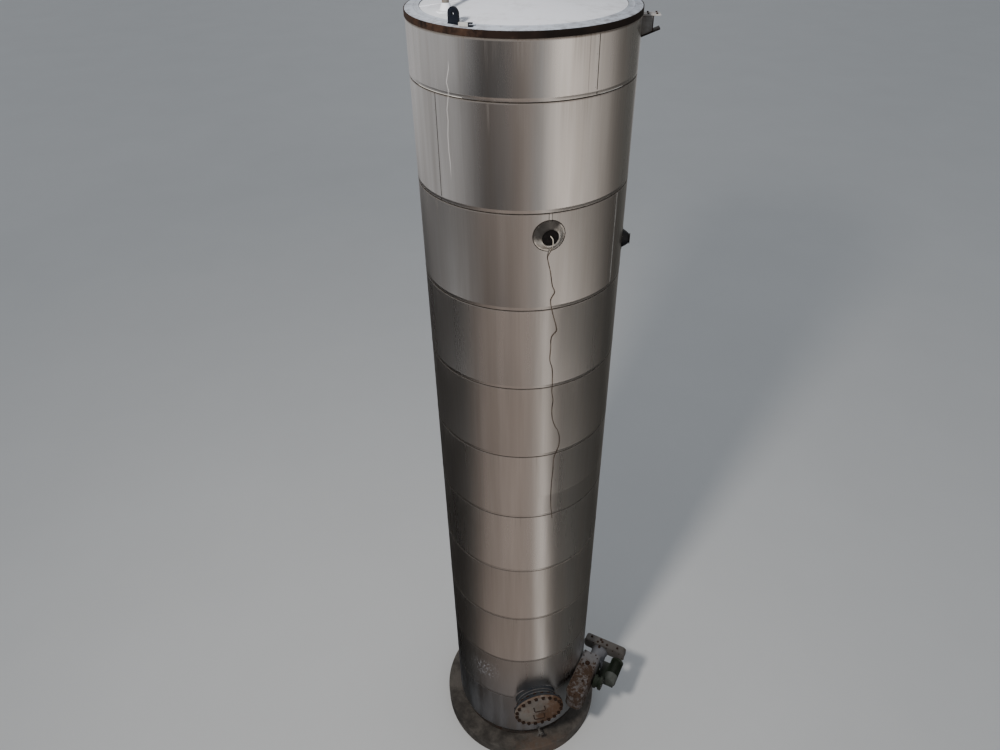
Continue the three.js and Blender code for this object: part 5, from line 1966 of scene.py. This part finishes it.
# %% Angle bracket of the motor
ANGLE_THICK = 14 * MM
SHELF_SIZE = (0.2947, 0.385, ANGLE_THICK)
SHELF_U, SHELF_V = 1.4577, 0.2375
WEB_TOP = 1.34
WEB_U, WEB_V = 1.3173, 0.115
WEB_LONG = 0.14
SHELF_END = 1.5
RIB_V = 0.06
shelf_top = foot_low - 0.3 * MM
shelf_low = shelf_top - ANGLE_THICK
web_side = WEB_U + ANGLE_THICK / 2 - 0.3 * MM
shelf = bevelled(block(*SHELF_SIZE), 2 * MM).moved(SHELF_U, SHELF_V, shelf_top - ANGLE_THICK / 2)
web = bevelled(block(ANGLE_THICK, WEB_LONG, WEB_TOP - shelf_low), 2 * MM)
web = web.moved(WEB_U, WEB_V, (WEB_TOP + shelf_low) / 2)
rib_line = [(web_side, shelf_top), (SHELF_END, shelf_top), (web_side, shelf_top + 0.12)]
rib = bevelled(drawn(rib_line, -5 * MM, 5 * MM), 1.5 * MM).placed(standing).moved(y=RIB_V)
piece("motor_angle", (shelf + web).placed(to_agitator), DARK_GREEN_AND_SHADE, "dark_paint", "agitator_motor_bracket")
piece("motor_angle_rib", rib.placed(to_agitator), DARK_GREEN_AND_SHADE, "dark_paint")

# %% Drum with two grooves
DRUM_V, DRUM_Z = -0.095, 1.335
DRUM_START = 24 * MM
DRUM_PITCH = 0.13 / 3
DRUM_FACE = 0.149
first, second = DRUM_START + DRUM_PITCH, DRUM_START + 2 * DRUM_PITCH
drum_profile = [
    (0, 0), (0.045, 0), (0.045, DRUM_START), (0.1, DRUM_START), (0.105, DRUM_START + 4 * MM),
    (0.105, first - 4 * MM), (0.101, first), (0.083, first + 2 * MM), (0.081, first + 6 * MM),
    (0.081, second - 6 * MM), (0.083, second - 2 * MM), (0.101, second), (0.105, second + 4 * MM),
    (0.105, 0.15), (0.101, 0.154), (0.086, 0.154), (0.084, DRUM_FACE), (0.034, DRUM_FACE), (0.03, 0.154),
    (0, 0.154)]
drum_place = Matrix.Translation((CASE_U[1] + 0.3 * MM, DRUM_V, DRUM_Z))
to_drum = to_agitator @ drum_place @ Matrix.Rotation(math.pi / 2, 4, "Y")
piece("drum_body", turned(drum_profile, 80).placed(to_drum), DARK_GREEN_AND_SHADE, "dark_paint", "agitator_drum")
bolts("drum_face_bolts", [to_drum @ Matrix.Translation((0, 0, DRUM_FACE))], BRIGHT_BOLT, "dark_paint",
      count=6, radius=58 * MM, across=14 * MM, stud=2 * MM)
